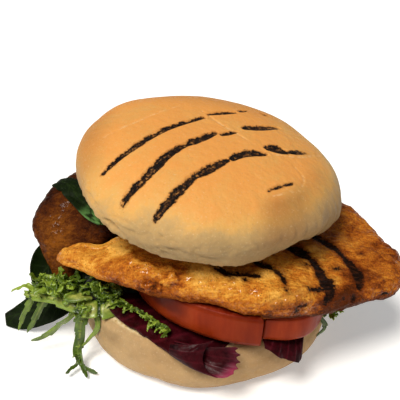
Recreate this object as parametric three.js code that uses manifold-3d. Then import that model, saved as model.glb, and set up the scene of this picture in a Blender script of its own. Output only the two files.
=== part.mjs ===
// A grilled chicken burger in a soft white bun, in millimetres, +Z up.
// The origin is the centre of the bun heel's flat foot. -Y is the front, where the filling shows most.
// From the bottom up: bun heel, red chicory leaves, curly endive, two thick half slices of tomato,
// two grilled chicken fillets, dark green leaves, and the bun crown, which leans down to the right.
import * as THREE from "three";
import { mergeVertices } from "three/addons/utils/BufferGeometryUtils.js";
import Module from "manifold-3d";

const wasm = await Module();
wasm.setup();

const HEEL = { radius: 55, foot: 44, belt: 14, height: 24, rim: 4.5 };
const CROWN = { radius: 54.5, dome: 20.5, below: 17.5, cut: 13.5, at: [1.4, 0.8, 72], lean: 10, nod: 2 };
// Where the side of the crown has sunk or swollen: [bearing in degrees from +X, spread in degrees, amount in mm].
const CROWN_LIFTS = [[-42, 12, 4.4], [-110, 12, -1.9]];
const CROWN_SWELLS = [[-46, 26, -4.6], [-14, 12, 3]];
// A slice's arc is rounder or squarer by its power: 1 is an ellipse, less is squarer.
const LEFT_TOMATO = {
  at: [21.4, -9.5, 33.1], halfWidth: 52.5, halfDepth: 45, power: 1.06, thick: 13.4, roll: 4.5, side: -1,
};
const RIGHT_TOMATO = {
  at: [22.4, -13, 33.8], halfWidth: 28, halfDepth: 39.3, power: 0.58, thick: 11.6, roll: 4, side: 1,
};
const LEAF_THICKNESS = 0.9;
const CLEARANCE = 0.5;
const SMALLEST_STEP = 0.06;
const BUN_SPOKES = 40;

// Smooth unevenness between -1 and 1, with lumps about `size` mm across.
function lumps(x, y, z, size, seed) {
  const k = (2 * Math.PI) / size;
  const a = Math.sin(k * (0.9 * x + 0.35 * y + 0.2 * z) + seed);
  const b = Math.sin(k * (-0.4 * x + 0.8 * y + 0.45 * z) + 2.3 * seed);
  const c = Math.sin(k * (0.25 * x - 0.5 * y + 0.85 * z) + 4.1 * seed);
  return (a * b + b * c + c * a) / 1.8;
}

const smooth = (t) => THREE.MathUtils.smoothstep(t, 0, 1);

// A closed surface from the triangles of a list of corners.
function surface(corners, triangles) {
  const geometry = new THREE.BufferGeometry();
  geometry.setAttribute("position", new THREE.Float32BufferAttribute(corners.flat(), 3));
  geometry.setIndex(triangles);
  return geometry;
}

// A solid stacked from rings of equally many points, closed at both ends by a middle point.
// The rings run from the middle of the underside, out round the rim, to the middle of the top.
function ringSolid(rings, lowMiddle, highMiddle) {
  const count = rings[0].length;
  const corners = [...rings.flat(), lowMiddle, highMiddle];
  const low = corners.length - 2;
  const high = corners.length - 1;
  const triangles = [];
  for (let i = 0; i < count; i++) {
    const next = (i + 1) % count;
    triangles.push(low, next, i);
    for (let k = 0; k + 1 < rings.length; k++) {
      const a = k * count;
      const b = a + count;
      triangles.push(a + i, a + next, b + next, a + i, b + next, b + i);
    }
    const last = (rings.length - 1) * count;
    triangles.push(last + i, last + next, high);
  }
  return surface(corners, triangles);
}

// A thin solid sheet: place(u, v) gives its middle surface, and both faces are split into triangles alike.
function sheetSolid(place, lengthSteps, widthSteps, thickness) {
  const row = widthSteps + 1;
  const points = [];
  for (let i = 0; i <= lengthSteps; i++)
    for (let j = 0; j <= widthSteps; j++) points.push(place(i / lengthSteps, j / widthSteps));
  const at = (i, j) =>
    points[THREE.MathUtils.clamp(i, 0, lengthSteps) * row + THREE.MathUtils.clamp(j, 0, widthSteps)];
  const faces = { upper: [], lower: [] };
  for (let i = 0; i <= lengthSteps; i++)
    for (let j = 0; j <= widthSteps; j++) {
      const along = at(i + 1, j).clone().sub(at(i - 1, j));
      const across = at(i, j + 1).clone().sub(at(i, j - 1));
      const half = along.cross(across).setLength(thickness / 2);
      faces.upper.push(at(i, j).clone().add(half).toArray());
      faces.lower.push(at(i, j).clone().sub(half).toArray());
    }
  const under = faces.upper.length;
  const triangles = [];
  for (let i = 0; i < lengthSteps; i++)
    for (let j = 0; j < widthSteps; j++) {
      const [a, b, c, d] = [i * row + j, (i + 1) * row + j, (i + 1) * row + j + 1, i * row + j + 1];
      triangles.push(a, b, c, a, c, d);
      triangles.push(under + a, under + c, under + b, under + a, under + d, under + c);
    }
  const wall = (a, b) => triangles.push(a, under + a, under + b, a, under + b, b);
  for (let i = 0; i < lengthSteps; i++) {
    wall(i * row, (i + 1) * row);
    wall((i + 1) * row + widthSteps, i * row + widthSteps);
  }
  for (let j = 0; j < widthSteps; j++) {
    wall(j + 1, j);
    wall(lengthSteps * row + j, lengthSteps * row + j + 1);
  }
  return surface([...faces.upper, ...faces.lower], triangles);
}

function toSolid(geometry) {
  const merged = mergeVertices(geometry, 1e-4);
  const solid = new wasm.Manifold(
    new wasm.Mesh({
      numProp: 3,
      vertProperties: Float32Array.from(merged.attributes.position.array),
      triVerts: Uint32Array.from(merged.index.array),
    }),
  );
  return solid;
}

function toGeometry(solid) {
  const mesh = solid.getMesh();
  const geometry = new THREE.BufferGeometry();
  geometry.setAttribute("position", new THREE.BufferAttribute(mesh.vertProperties, 3));
  geometry.setIndex(new THREE.BufferAttribute(mesh.triVerts, 1));
  return geometry;
}

// The same closed surface moved outwards by the clearance that a neighbour keeps.
function grown(geometry) {
  const wide = mergeVertices(geometry.clone(), 1e-4);
  wide.computeVertexNormals();
  const { position, normal } = wide.attributes;
  const point = new THREE.Vector3();
  for (let i = 0; i < position.count; i++) {
    point.fromBufferAttribute(position, i);
    point.addScaledVector(new THREE.Vector3().fromBufferAttribute(normal, i), CLEARANCE);
    position.setXYZ(i, point.x, point.y, point.z);
  }
  return wide;
}

// The largest piece that is left of a geometry once its neighbours, each with its clearance, are cut away.
function fitted(geometry, neighbours) {
  let solid = toSolid(geometry);
  for (const neighbour of neighbours) solid = solid.subtract(toSolid(grown(neighbour)));
  solid = solid.simplify(SMALLEST_STEP);
  for (const neighbour of neighbours) solid = solid.subtract(toSolid(neighbour));
  const pieces = solid.decompose();
  return toGeometry(pieces.reduce((most, piece) => (piece.volume() > most.volume() ? piece : most)));
}

// A closed or open smooth line through a few points.
const lineThrough = (points, closed = false) =>
  new THREE.CatmullRomCurve3(points.map((p) => new THREE.Vector3(...p)), closed, "catmullrom", 0.5);

// Bun rings from a profile of [radius, height] pairs, slightly out of round.
function bunRings(profile, uneven) {
  return profile.map(([radius, height]) =>
    Array.from({ length: BUN_SPOKES }, (_, i) => {
      const turn = (2 * Math.PI * i) / BUN_SPOKES;
      const [x, y] = [radius * Math.cos(turn), radius * Math.sin(turn)];
      const push = 1 + (uneven * lumps(x, y, height, 46, 1.7)) / 55;
      return [x * push, y * push, height];
    }),
  );
}

function bunHeel() {
  const { radius, foot, belt, height, rim } = HEEL;
  const profile = [[foot * 0.5, 0], [foot, 0]];
  for (let k = 1; k <= 6; k++) {
    const turn = (k / 6) * (Math.PI / 2);
    profile.push([foot + (radius - foot) * Math.sin(turn), belt * (1 - Math.cos(turn))]);
  }
  for (let k = 0; k <= 3; k++) {
    const turn = (k / 3) * (Math.PI / 2);
    profile.push([radius - 1 - rim * (1 - Math.cos(turn)), height - rim + rim * Math.sin(turn)]);
  }
  profile.push([radius * 0.5, height]);
  return ringSolid(bunRings(profile, 0.7), [0, 0, 0], [0, 0, height]);
}

const bearingSum = (bearing, places) =>
  places.reduce((sum, [at, spread, amount]) => {
    const apart = THREE.MathUtils.euclideanModulo(bearing - at + 180, 360) - 180;
    return sum + amount * Math.exp(-((apart / spread) ** 2));
  }, 0);

// A point of the crown once its soft side has given way: pinched at the front right, fuller beside that.
function slumped([x, y, z]) {
  const bearing = THREE.MathUtils.radToDeg(Math.atan2(y, x));
  const low = smooth(-z / CROWN.cut) * smooth((Math.hypot(x, y) - 15) / 20);
  const height = z + low * bearingSum(bearing, CROWN_LIFTS);
  const side = Math.exp(-(((height + 5) / 8) ** 2));
  const share = 1 + (side * bearingSum(bearing, CROWN_SWELLS)) / CROWN.radius;
  return [x * share, y * share, height];
}

function bunCrown() {
  const { radius, dome, below, cut } = CROWN;
  const cutTurn = Math.asin((cut / below) ** (2.6 / 2));
  const lower = (turn) => [radius * Math.cos(turn) ** (2 / 2.6), -below * Math.sin(turn) ** (2 / 2.6)];
  const upper = (turn) => [radius * Math.cos(turn) ** (2 / 2.2), dome * Math.sin(turn) ** (2 / 2.2)];
  const cutRadius = lower(cutTurn)[0];
  const profile = [[cutRadius * 0.5, -cut], [cutRadius * 0.93, -cut]];
  for (let k = 5; k >= 1; k--) profile.push(lower((cutTurn * k) / 5));
  for (let k = 0; k <= 8; k++) profile.push(upper((Math.PI / 2) * (k / 8.6)));
  const rings = bunRings(profile, 0.9).map((ring) => ring.map(slumped));
  return ringSolid(rings, [0, 0, -cut], [0, 0, dome]);
}

// Half a thick slice: an arc of skin and a straight cut, both with a slightly rounded edge.
function tomatoSlice({ halfWidth, halfDepth, power, thick, side }) {
  const arcSteps = 20;
  const cutSteps = 6;
  const edge = 0.9;
  const outline = [];
  for (let i = 0; i <= arcSteps; i++) {
    const turn = -Math.PI / 2 + (Math.PI * i) / arcSteps;
    outline.push([Math.max(Math.cos(turn), 0) ** power * halfWidth, Math.sin(turn) * halfDepth]);
  }
  for (let i = 1; i < cutSteps; i++) outline.push([0, halfDepth * (1 - (2 * i) / cutSteps)]);
  const middle = [halfWidth * 0.4, 0];
  const ring = (inset, height) => {
    const points = outline.map(([x, y]) => {
      const share = 1 - inset / Math.hypot(x - middle[0], y - middle[1]);
      const [px, py] = [middle[0] + (x - middle[0]) * share, middle[1] + (y - middle[1]) * share];
      return [side * px, py, height];
    });
    return side > 0 ? points : points.reverse();
  };
  const half = thick / 2;
  const rings = [
    ring(halfWidth * 0.3, -half),
    ring(edge, -half),
    ring(0, -half + edge),
    ring(-0.5, 0),
    ring(0, half - edge),
    ring(edge, half),
    ring(halfWidth * 0.3, half),
  ];
  return ringSolid(rings, [side * middle[0], 0, -half], [side * middle[0], 0, half]);
}

// A fillet: a thick slab inside a closed outline, with a rounded edge and lumpy faces.
function fillet({ outline, middle, level, thickness, spokes, rounding, seed }) {
  const edge = lineThrough(outline.map(([x, y]) => [x, y, 0]), true).getSpacedPoints(spokes).slice(0, spokes);
  const height = (x, y, sign, swell) => {
    const bump = 1.2 * lumps(x, y, 0, 34, seed) + 0.6 * lumps(x, y, 0, 15, seed + 1);
    return level(x, y) + swell * (sign * thickness(x, y) * 0.5 + bump);
  };
  const ring = (inset, share, sign, swell) =>
    edge.map((p) => {
      const kept = share * (1 - inset / Math.hypot(p.x - middle[0], p.y - middle[1]));
      const x = middle[0] + (p.x - middle[0]) * kept;
      const y = middle[1] + (p.y - middle[1]) * kept;
      return [x, y, height(x, y, sign, swell)];
    });
  const face = (sign) => [
    ...[0.45, 0.9, 1.3].map((turn) => ring(rounding * (1 - Math.cos(turn)), 1, sign, Math.sin(turn))),
    ...[0.84, 0.6, 0.32].map((share) => ring(rounding, share, sign, 1)),
  ];
  const rings = [...face(-1).toReversed(), ring(0, 1, 1, 0), ...face(1)];
  const [x, y] = middle;
  return ringSolid(rings, [x, y, height(x, y, -1, 1)], [x, y, height(x, y, 1, 1)]);
}

const hump = (x, y, [cx, cy], radius, height) => height * Math.exp(-((x - cx) ** 2 + (y - cy) ** 2) / radius ** 2);

// The front fillet: a tongue to the left, the bulging front edge, and a broad wedge to the right.
const FRONT_FILLET = {
  outline: [
    [-61, -19.5], [-57, -24], [-50, -28.5], [-38, -37], [-20, -45], [3, -52], [22, -54.5], [40, -50.5],
    [60, -42], [74, -34.5], [80.5, -26], [82, -17], [79.5, -8], [74.5, 2], [70, 11], [62, 20],
    [36, 20], [12, 10], [-12, -2], [-27, -11.5], [-33.5, -13.5], [-39, -18], [-46, -19], [-55, -17.5], [-60, -17],
  ],
  middle: [10, -20],
  level: (x, y) =>
    48.2 - 0.0015 * Math.min(x, 0) ** 2 - 0.13 * Math.max(x - 3, 0) +
    0.07 * (y + 20) * smooth((x - 20) / 30) + hump(x, y, [-33, -15], 5, 3.5),
  thickness: (x) => 14.5 - 6 * smooth((-x - 8) / 45) - 4 * smooth((x - 25) / 50),
  spokes: 50,
  rounding: 7,
  seed: 0.4,
};

// The back fillet: higher on the left, where its front corner hangs down beside the tongue.
const BACK_FILLET = {
  outline: [
    [-61, -20], [-52, -18], [-40, -15.5], [-20, -8], [4, 6], [30, 19], [44, 31], [37, 44],
    [16, 54], [-10, 56], [-36, 49], [-51, 39], [-60, 28.5], [-66, 19.5], [-71, 10.5],
    [-73.5, 2.5], [-72, -6], [-66, -15],
  ],
  middle: [-26, 22],
  level: (x, y) => {
    const flat = 49.5 - 0.11 * x - 0.012 * Math.max(-x - 48, 0) ** 2;
    return flat - 0.05 * Math.max(6 - y, 0) ** 1.9 * smooth((-x - 36) / 20);
  },
  thickness: (x, y) => 14 - 5 * smooth((-x - 45) / 25) - 1.5 * smooth((10 - y) / 20),
  spokes: 46,
  rounding: 6,
  seed: 2.1,
};

// A leaf between a hidden edge and a shown edge, bowed out between them and ruffled towards the shown one.
function leafBetween({ hidden, shown, bow, ruffle, waves, teeth }, lengthSteps = 18, widthSteps = 6) {
  const inner = lineThrough(hidden);
  const outer = lineThrough(shown);
  const lift = new THREE.Vector3(...bow);
  const place = (u, v) => {
    const notch = teeth * (0.5 + 0.5 * Math.cos(2 * Math.PI * waves * 2 * u)) * v ** 4;
    const wave = ruffle * Math.sin(2 * Math.PI * waves * u) * v * v;
    return inner
      .getPoint(u)
      .lerp(outer.getPoint(u), v * (1 - notch))
      .addScaledVector(lift, 4 * v * (1 - v))
      .add(new THREE.Vector3(0, -0.4 * wave, 0.6 * wave));
  };
  return sheetSolid(place, lengthSteps, widthSteps, LEAF_THICKNESS);
}

const LONG_CHICORY = {
  hidden: [[-30, -18, 27], [-20, -24, 25.4], [-6, -30, 25.1], [6, -36, 25.1], [15, -42, 25.1]],
  shown: [[-40, -31, 26.6], [-32.5, -39, 25.6], [-26.5, -44, 25], [-19, -50.5, 23.4], [-9, -56.5, 20.5], [2, -57, 20.5]],
  bow: [-0.3, -0.6, 1.1],
  ruffle: 0.5,
  waves: 2,
  teeth: 0.03,
};

const RIGHT_CHICORY = {
  hidden: [[20, -44, 25.6], [29, -41.5, 25.2], [38, -36, 24.9]],
  shown: [[22.5, -54, 26], [27.5, -55.5, 23], [32.5, -54, 19.5], [37, -51.5, 17], [38, -46.5, 22.5]],
  bow: [0.6, -1.4, 1.8],
  ruffle: 0.5,
  waves: 1.5,
  teeth: 0.05,
};

// The chicory leaf that rolls into a scoop over the front rim: narrow on the left, its toothed mouth
// facing forwards and up.
const SCOOP = {
  narrow: { at: [-13, -51.5, 24], across: [0.9, 2.6, -0.4], up: [0, 0.3, 2.7] },
  mouth: { at: [6.2, -57.8, 24.2], across: [7.3, 0, 0], up: [0, 3.9, 6.3] },
  turns: [2, 6.9],
  teeth: 4,
  toothDepth: 0.07,
};

function scoop({ narrow, mouth, turns, teeth, toothDepth }) {
  const ringPoint = ({ at, across, up }, turn) =>
    new THREE.Vector3(...at)
      .addScaledVector(new THREE.Vector3(...across), Math.cos(turn))
      .addScaledVector(new THREE.Vector3(...up), Math.sin(turn));
  const place = (u, v) => {
    const turn = turns[0] + (turns[1] - turns[0]) * u;
    const notch = toothDepth * (0.5 + 0.5 * Math.cos(2 * Math.PI * teeth * u)) * smooth(2 * u - 0.6) * v ** 3;
    const point = ringPoint(narrow, turn).lerp(ringPoint(mouth, turn), v * (1 - notch));
    point.y -= 1.6 * Math.sin(Math.PI * v);
    return point;
  };
  return sheetSolid(place, 22, 7, LEAF_THICKNESS);
}

// An oval leaf along a curved midrib, folded along it and drooping to both sides.
function ovalLeaf({ rib, across, halfWidth, fold, sag }, lengthSteps, widthSteps) {
  const midrib = lineThrough(rib);
  const side = new THREE.Vector3(...across).normalize();
  const place = (u, v) => {
    const s = 2 * v - 1;
    const width = halfWidth * (0.12 + 0.88 * Math.sin(Math.PI * (0.06 + 0.9 * u)) ** 0.75);
    const point = midrib.getPoint(u).addScaledVector(side, s * width);
    point.z += fold * Math.abs(s) - sag * s * s + 0.5 * Math.sin(9 * u + 3 * s);
    return point;
  };
  return sheetSolid(place, lengthSteps, widthSteps, LEAF_THICKNESS);
}

const LOW_LEAF = {
  rib: [[-51, -6, 20], [-61, -8, 15], [-71, -8.5, 10], [-80, -8.5, 6], [-89, -8.5, 2.8]],
  across: [0.25, -1, -0.55],
  halfWidth: 8.5,
  fold: 0.6,
  sag: 1.2,
};

const SIDE_LEAF = {
  rib: [[-50, 6, 34], [-59, 1, 33.5], [-66, -5, 31.5], [-70, -12, 28], [-70.5, -18.5, 24.5]],
  across: [0.7, -0.35, -0.6],
  halfWidth: 7.5,
  fold: 0.5,
  sag: -1,
};

const TOP_LEAF = {
  rib: [[-65, 17, 57], [-58.5, 10, 58.5], [-52.5, 1, 59.5], [-47, -9, 60], [-41, -20, 60]],
  across: [1, 0.55, 0.25],
  halfWidth: 5,
  fold: 1.2,
  sag: 0.4,
};

// A strip of endive along a line, widest near its root, twisting as it goes.
function strip({ along, width, twist = 0, thick = 1.1, flat = [0, 0, 1] }, lengthSteps = 7) {
  const line = lineThrough(along);
  const up = new THREE.Vector3(...flat);
  const place = (u, v) => {
    const tangent = line.getTangent(u);
    const side = tangent.clone().cross(up).normalize().applyAxisAngle(tangent, twist * u);
    const half = (width / 2) * (1 - 0.62 * u ** 1.5) * (1 + 0.22 * Math.sin(14 * u));
    return line.getPoint(u).addScaledVector(side, (2 * v - 1) * half);
  };
  return sheetSolid(place, lengthSteps, 1, thick);
}

// The endive's ribs and hanging strands that stand out on the left, each from its root to its tip.
const STRANDS = [
  {
    along: [[-28, -24, 28.5], [-40, -30.5, 26.6], [-49, -30.5, 26.4], [-62, -24, 26.2], [-76, -20, 25.5]],
    width: 9,
    flat: [0, -0.6, 0.8],
  },
  { along: [[-47, -28, 26.5], [-50.7, -30, 21], [-52, -33.5, 14], [-52.4, -36.5, 6.5], [-44.3, -41.5, 1.6]], width: 6 },
  { along: [[-51.5, -38, 4.5], [-50, -41, 2.6], [-49.5, -43.5, 1.4]], width: 2.4 },
  { along: [[-52, -28, 24], [-58, -29, 18], [-65, -30, 11], [-72, -31.5, 6.5]], width: 3.6 },
  { along: [[-70, -19, 26], [-74.5, -20, 20], [-78, -20.5, 13], [-80, -22, 7.5]], width: 3.4 },
  { along: [[-66, -21, 26], [-70, -23, 19], [-73, -23.5, 13], [-76, -24, 8]], width: 3.2 },
  { along: [[-46, -29, 26], [-44, -32.5, 19], [-47.5, -33, 13], [-51, -35, 10]], width: 3 },
  { along: [[-70, -20, 26.5], [-75, -18, 28], [-79, -17.5, 27], [-82, -17, 24.5]], width: 3.2 },
  { along: [[-60, -22, 27], [-66, -18, 30], [-72, -17, 30.5]], width: 3 },
  { along: [[38, -32, 28], [44, -36, 28], [48, -37.5, 23], [45, -38, 18]], width: 4 },
];

// A frill of short curly leaflets standing out from a line, to alternate sides.
function frill(along, count, length, seed) {
  const line = lineThrough(along);
  return Array.from({ length: count }, (_, i) => {
    const u = (i + 0.5) / count;
    const root = line.getPoint(u);
    const tangent = line.getTangent(u);
    const lean = (i % 2 ? 1 : -1) * (0.5 + 0.4 * Math.sin(3.7 * i + seed));
    const out = new THREE.Vector3(tangent.y, -tangent.x, lean).normalize();
    const reach = length * (0.8 + 0.3 * Math.sin(5.1 * i + seed));
    const bend = new THREE.Vector3(0.3 * Math.sin(2.9 * i + seed), 0.2, 0.45 * Math.cos(4.3 * i + seed));
    const points = [-0.25, 0.35, 0.75, 1].map((s) =>
      root.clone().addScaledVector(out, s * reach).addScaledVector(bend, s * s * reach).toArray(),
    );
    return strip({ along: points, width: 3.4, twist: 1.4 * Math.sin(i + seed), thick: 1.2 }, 4);
  });
}

// The lumpy bed of endive that runs through the burger, with its strands and frills fused on.
function endive(neighbours) {
  const outline = lineThrough(
    [
      [-50, -26, 0], [-30, -22, 0], [-10, -17, 0], [18, -17, 0], [46, -12, 0], [54, 2, 0], [51, 22, 0],
      [34, 42, 0], [8, 53, 0], [-20, 50, 0], [-44, 34, 0], [-55, 12, 0], [-57, -12, 0],
    ],
    true,
  ).getSpacedPoints(32).slice(0, 32);
  const top = (x, y) => 38 - 0.13 * x + 1.5 * lumps(x, y, 0, 16, 0.9) - 9 * smooth((-x - 38) / 20);
  const ring = (share, level) =>
    outline.map((p, i) => {
      const ragged = 1 + 0.035 * Math.sin(7.3 * i) + 0.025 * Math.sin(3.1 * i + 1);
      return [p.x * share * ragged, p.y * share * ragged, level(p.x * share, p.y * share)];
    });
  const bed = ringSolid(
    [
      ring(0.5, () => 24.6),
      ring(0.9, () => 24.6),
      ring(0.98, () => 26.5),
      ring(1.01, (x, y) => (26 + top(x, y)) / 2),
      ring(0.96, top),
      ring(0.75, top),
      ring(0.4, top),
    ],
    [0, 0, 24.6],
    [0, 0, top(0, 0)],
  );
  const strands = STRANDS.map((strand) => strip(strand, 8));
  const frills = [
    ...frill([[-36, -28, 31], [-46, -25, 31.5], [-58, -19, 31], [-66, -15, 30]], 9, 7, 0.3),
    ...frill([[-38, -30, 29.5], [-28, -37, 29.3], [-19, -44, 27.6], [-13, -49, 27]], 7, 4.2, 1.9),
    ...frill([[-52, -22, 28], [-60, -19, 27], [-68, -16, 27]], 5, 7, 4.4),
    ...frill([[46, -22, 28], [54, -12, 28], [55, 4, 29], [50, 20, 30]], 7, 5.5, 2.6),
    ...frill([[38, 40, 30], [16, 52, 31], [-10, 54, 31], [-34, 46, 31], [-50, 28, 31]], 11, 7, 0.9),
    ...frill([[-55, 20, 30], [-58, 8, 29]], 3, 6, 3.3),
  ];
  const fringe = strip({ along: [[-34, -26, 30.5], [-30, -35, 29.6], [-20, -43.5, 27.8], [-10, -51, 26.4]], width: 3.4 });
  const whole = wasm.Manifold.union([bed, ...strands, ...frills, fringe].map(toSolid));
  return fitted(toGeometry(whole), neighbours);
}

const colours = {
  bun: { color: "#dfb277", roughness: 0.8 },
  chicken: { color: "#c9762b", roughness: 0.55 },
  tomato: { color: "#b5401f", roughness: 0.35 },
  chicory: { color: "#4a0d1d", roughness: 0.4 },
  leaf: { color: "#1f3a12", roughness: 0.5 },
  endive: { color: "#6f8f2e", roughness: 0.5 },
};

const burger = new THREE.Group();

function add(name, geometry, finish, at = [0, 0, 0], turned = [0, 0, 0]) {
  const material = new THREE.MeshStandardMaterial({ ...finish, metalness: 0 });
  const mesh = new THREE.Mesh(geometry, material);
  mesh.name = name;
  mesh.position.set(...at);
  mesh.rotation.set(...turned.map(THREE.MathUtils.degToRad), "YXZ");
  burger.add(mesh);
  mesh.updateMatrix();
  return geometry.clone().applyMatrix4(mesh.matrix);
}

const heel = add("bun_heel", bunHeel(), colours.bun);
const crown = add("bun_crown", bunCrown(), colours.bun, CROWN.at, [CROWN.nod, CROWN.lean, 0]);
const tomatoes = [
  add("tomato_left", tomatoSlice(LEFT_TOMATO), colours.tomato, LEFT_TOMATO.at, [0, LEFT_TOMATO.roll, 0]),
  add("tomato_right", tomatoSlice(RIGHT_TOMATO), colours.tomato, RIGHT_TOMATO.at, [0, RIGHT_TOMATO.roll, 0]),
];
const chicken = [];
for (const [name, shape] of [["chicken_front", FRONT_FILLET], ["chicken_back", BACK_FILLET]])
  chicken.push(add(name, fitted(fillet(shape), [crown, ...tomatoes, ...chicken]), colours.chicken));

const leaves = [];
for (const [name, shape] of [
  ["chicory_scoop", scoop(SCOOP)],
  ["chicory_long", leafBetween(LONG_CHICORY)],
  ["chicory_right", leafBetween(RIGHT_CHICORY)],
])
  leaves.push(add(name, fitted(shape, [heel, ...tomatoes, ...leaves]), colours.chicory));
for (const [name, shape] of [["leaf_low", LOW_LEAF], ["leaf_side", SIDE_LEAF], ["leaf_top", TOP_LEAF]])
  leaves.push(add(name, fitted(ovalLeaf(shape, 12, 6), [heel, crown, ...chicken, ...leaves]), colours.leaf));

add("endive", endive([heel, ...tomatoes, ...chicken, ...leaves]), colours.endive);

export default burger;
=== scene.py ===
import math
from types import SimpleNamespace as Sizes

import bpy
import numpy as np
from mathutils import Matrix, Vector
from mathutils.bvhtree import BVHTree


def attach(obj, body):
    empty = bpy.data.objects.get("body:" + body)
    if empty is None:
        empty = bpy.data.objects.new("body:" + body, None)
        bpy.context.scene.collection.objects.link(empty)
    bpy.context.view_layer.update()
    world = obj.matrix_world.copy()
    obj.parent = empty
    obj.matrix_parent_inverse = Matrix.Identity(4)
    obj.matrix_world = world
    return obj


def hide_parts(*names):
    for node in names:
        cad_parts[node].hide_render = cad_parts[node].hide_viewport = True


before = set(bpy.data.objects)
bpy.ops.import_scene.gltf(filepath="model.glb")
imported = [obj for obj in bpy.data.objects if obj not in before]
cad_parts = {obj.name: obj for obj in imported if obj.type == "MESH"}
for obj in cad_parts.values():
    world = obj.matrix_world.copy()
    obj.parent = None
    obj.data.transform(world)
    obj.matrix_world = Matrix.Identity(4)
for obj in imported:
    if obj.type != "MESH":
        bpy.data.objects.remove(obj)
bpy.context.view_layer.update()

MM = 0.001
GAP = 0.35  # kept between neighbouring pieces


# Repeatable noise

def hashed(cells, seed):
    """A repeatable number between -1 and 1 for each row of whole numbers."""
    c = cells.astype(np.int64)
    h = (c[:, 0] * 73856093) ^ (c[:, 1] * 19349663) ^ (c[:, 2] * 83492791) ^ (seed * 2654435761)
    h = (h ^ (h >> 13)) * 1274126177
    h = h ^ (h >> 16)
    return (h & 0xFFFF) / 32767.5 - 1.0


def noise(points, size, seed=0):
    """Smooth noise between -1 and 1 with lumps of about size, which may differ along x, y and z."""
    q = np.asarray(points, float) / np.asarray(size, float)
    cell = np.floor(q)
    f = q - cell
    f = f * f * f * (f * (f * 6 - 15) + 10)
    total = np.zeros(len(q))
    for dx in (0, 1):
        for dy in (0, 1):
            for dz in (0, 1):
                weight = (
                    (f[:, 0] if dx else 1 - f[:, 0])
                    * (f[:, 1] if dy else 1 - f[:, 1])
                    * (f[:, 2] if dz else 1 - f[:, 2])
                )
                total += weight * hashed(cell + (dx, dy, dz), seed)
    return total


def rough(points, size, seed=0, octaves=3):
    """Noise with finer noise added on top."""
    size = np.asarray(size, float)
    total, weight = 0.0, 0.0
    for k in range(octaves):
        total = total + noise(points, size / 2**k, seed + 17 * k) * 0.5**k
        weight += 0.5**k
    return total / weight


def lumps(x, y, z, size, seed):
    """The same slow unevenness as in the CAD."""
    k = 2 * math.pi / size
    a = np.sin(k * (0.9 * x + 0.35 * y + 0.2 * z) + seed)
    b = np.sin(k * (-0.4 * x + 0.8 * y + 0.45 * z) + 2.3 * seed)
    c = np.sin(k * (0.25 * x - 0.5 * y + 0.85 * z) + 4.1 * seed)
    return (a * b + b * c + c * a) / 1.8


def smooth(t):
    """0 to 1 with soft ends, held outside."""
    t = np.clip(t, 0, 1)
    return t * t * (3 - 2 * t)


def rise(value, start, span):
    """0 up to start, 1 from start + span on, and smooth between."""
    return smooth((value - start) / span)


def fall(value, end, span):
    """1 up to end - span, 0 from end on, and smooth between."""
    return smooth((end - value) / span)


def bell(t):
    """1 at nothing, falling off to both sides."""
    return np.exp(-(t**2))


def stripes(phase, width):
    """Soft lines wherever phase is a whole number."""
    return bell((phase - np.round(phase)) / width)


# Curves, meshes and contact between pieces

def curve(points, closed=False):
    """A smooth line through points, as a function of a number (or numbers) from 0 to 1."""
    p = np.asarray(points, float)
    n = len(p)

    def at(t):
        t = np.atleast_1d(np.asarray(t, float))
        s = t * (n if closed else n - 1)
        i = np.floor(s).astype(int)
        if not closed:
            i = np.clip(i, 0, n - 2)
        f = (s - i)[:, None]

        def corner(k):
            if closed:
                return p[k % n]
            out = p[np.clip(k, 0, n - 1)]
            out = np.where((k < 0)[:, None], 2 * p[0] - p[1], out)
            return np.where((k > n - 1)[:, None], 2 * p[-1] - p[-2], out)

        a, b, c, d = corner(i - 1), corner(i), corner(i + 1), corner(i + 2)
        return 0.5 * (
            2 * b + (c - a) * f + (2 * a - 5 * b + 4 * c - d) * f**2 + (3 * b - a - 3 * c + d) * f**3
        )

    return at


def evenly(points, count, closed=False):
    """Points spread evenly along a smooth line."""
    t = np.linspace(0, 1, 40 * len(points) + 1)
    dense = curve(points, closed)(t)
    steps = np.linalg.norm(np.diff(dense, axis=0), axis=1)
    length = np.concatenate([[0], np.cumsum(steps)])
    wanted = np.linspace(0, length[-1], count + 1)[:-1] if closed else np.linspace(0, length[-1], count)
    return np.stack([np.interp(wanted, length, dense[:, k]) for k in range(dense.shape[1])], axis=1)


def unit(v):
    return v / np.maximum(np.linalg.norm(v, axis=-1, keepdims=True), 1e-9)


def ring_faces(rings, count):
    """Faces of rings of count points stacked from the bottom to the top, with a middle point at each end."""
    i = np.arange(count)
    j = (i + 1) % count
    quads = [
        np.stack([k * count + i, k * count + j, (k + 1) * count + j, (k + 1) * count + i], axis=1)
        for k in range(rings - 1)
    ]
    low, high = rings * count, rings * count + 1
    last = (rings - 1) * count
    fan_low = np.stack([np.full(count, low), j, i], axis=1)
    fan_high = np.stack([last + i, last + j, np.full(count, high)], axis=1)
    return np.concatenate(quads), np.concatenate([fan_low, fan_high])


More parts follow.
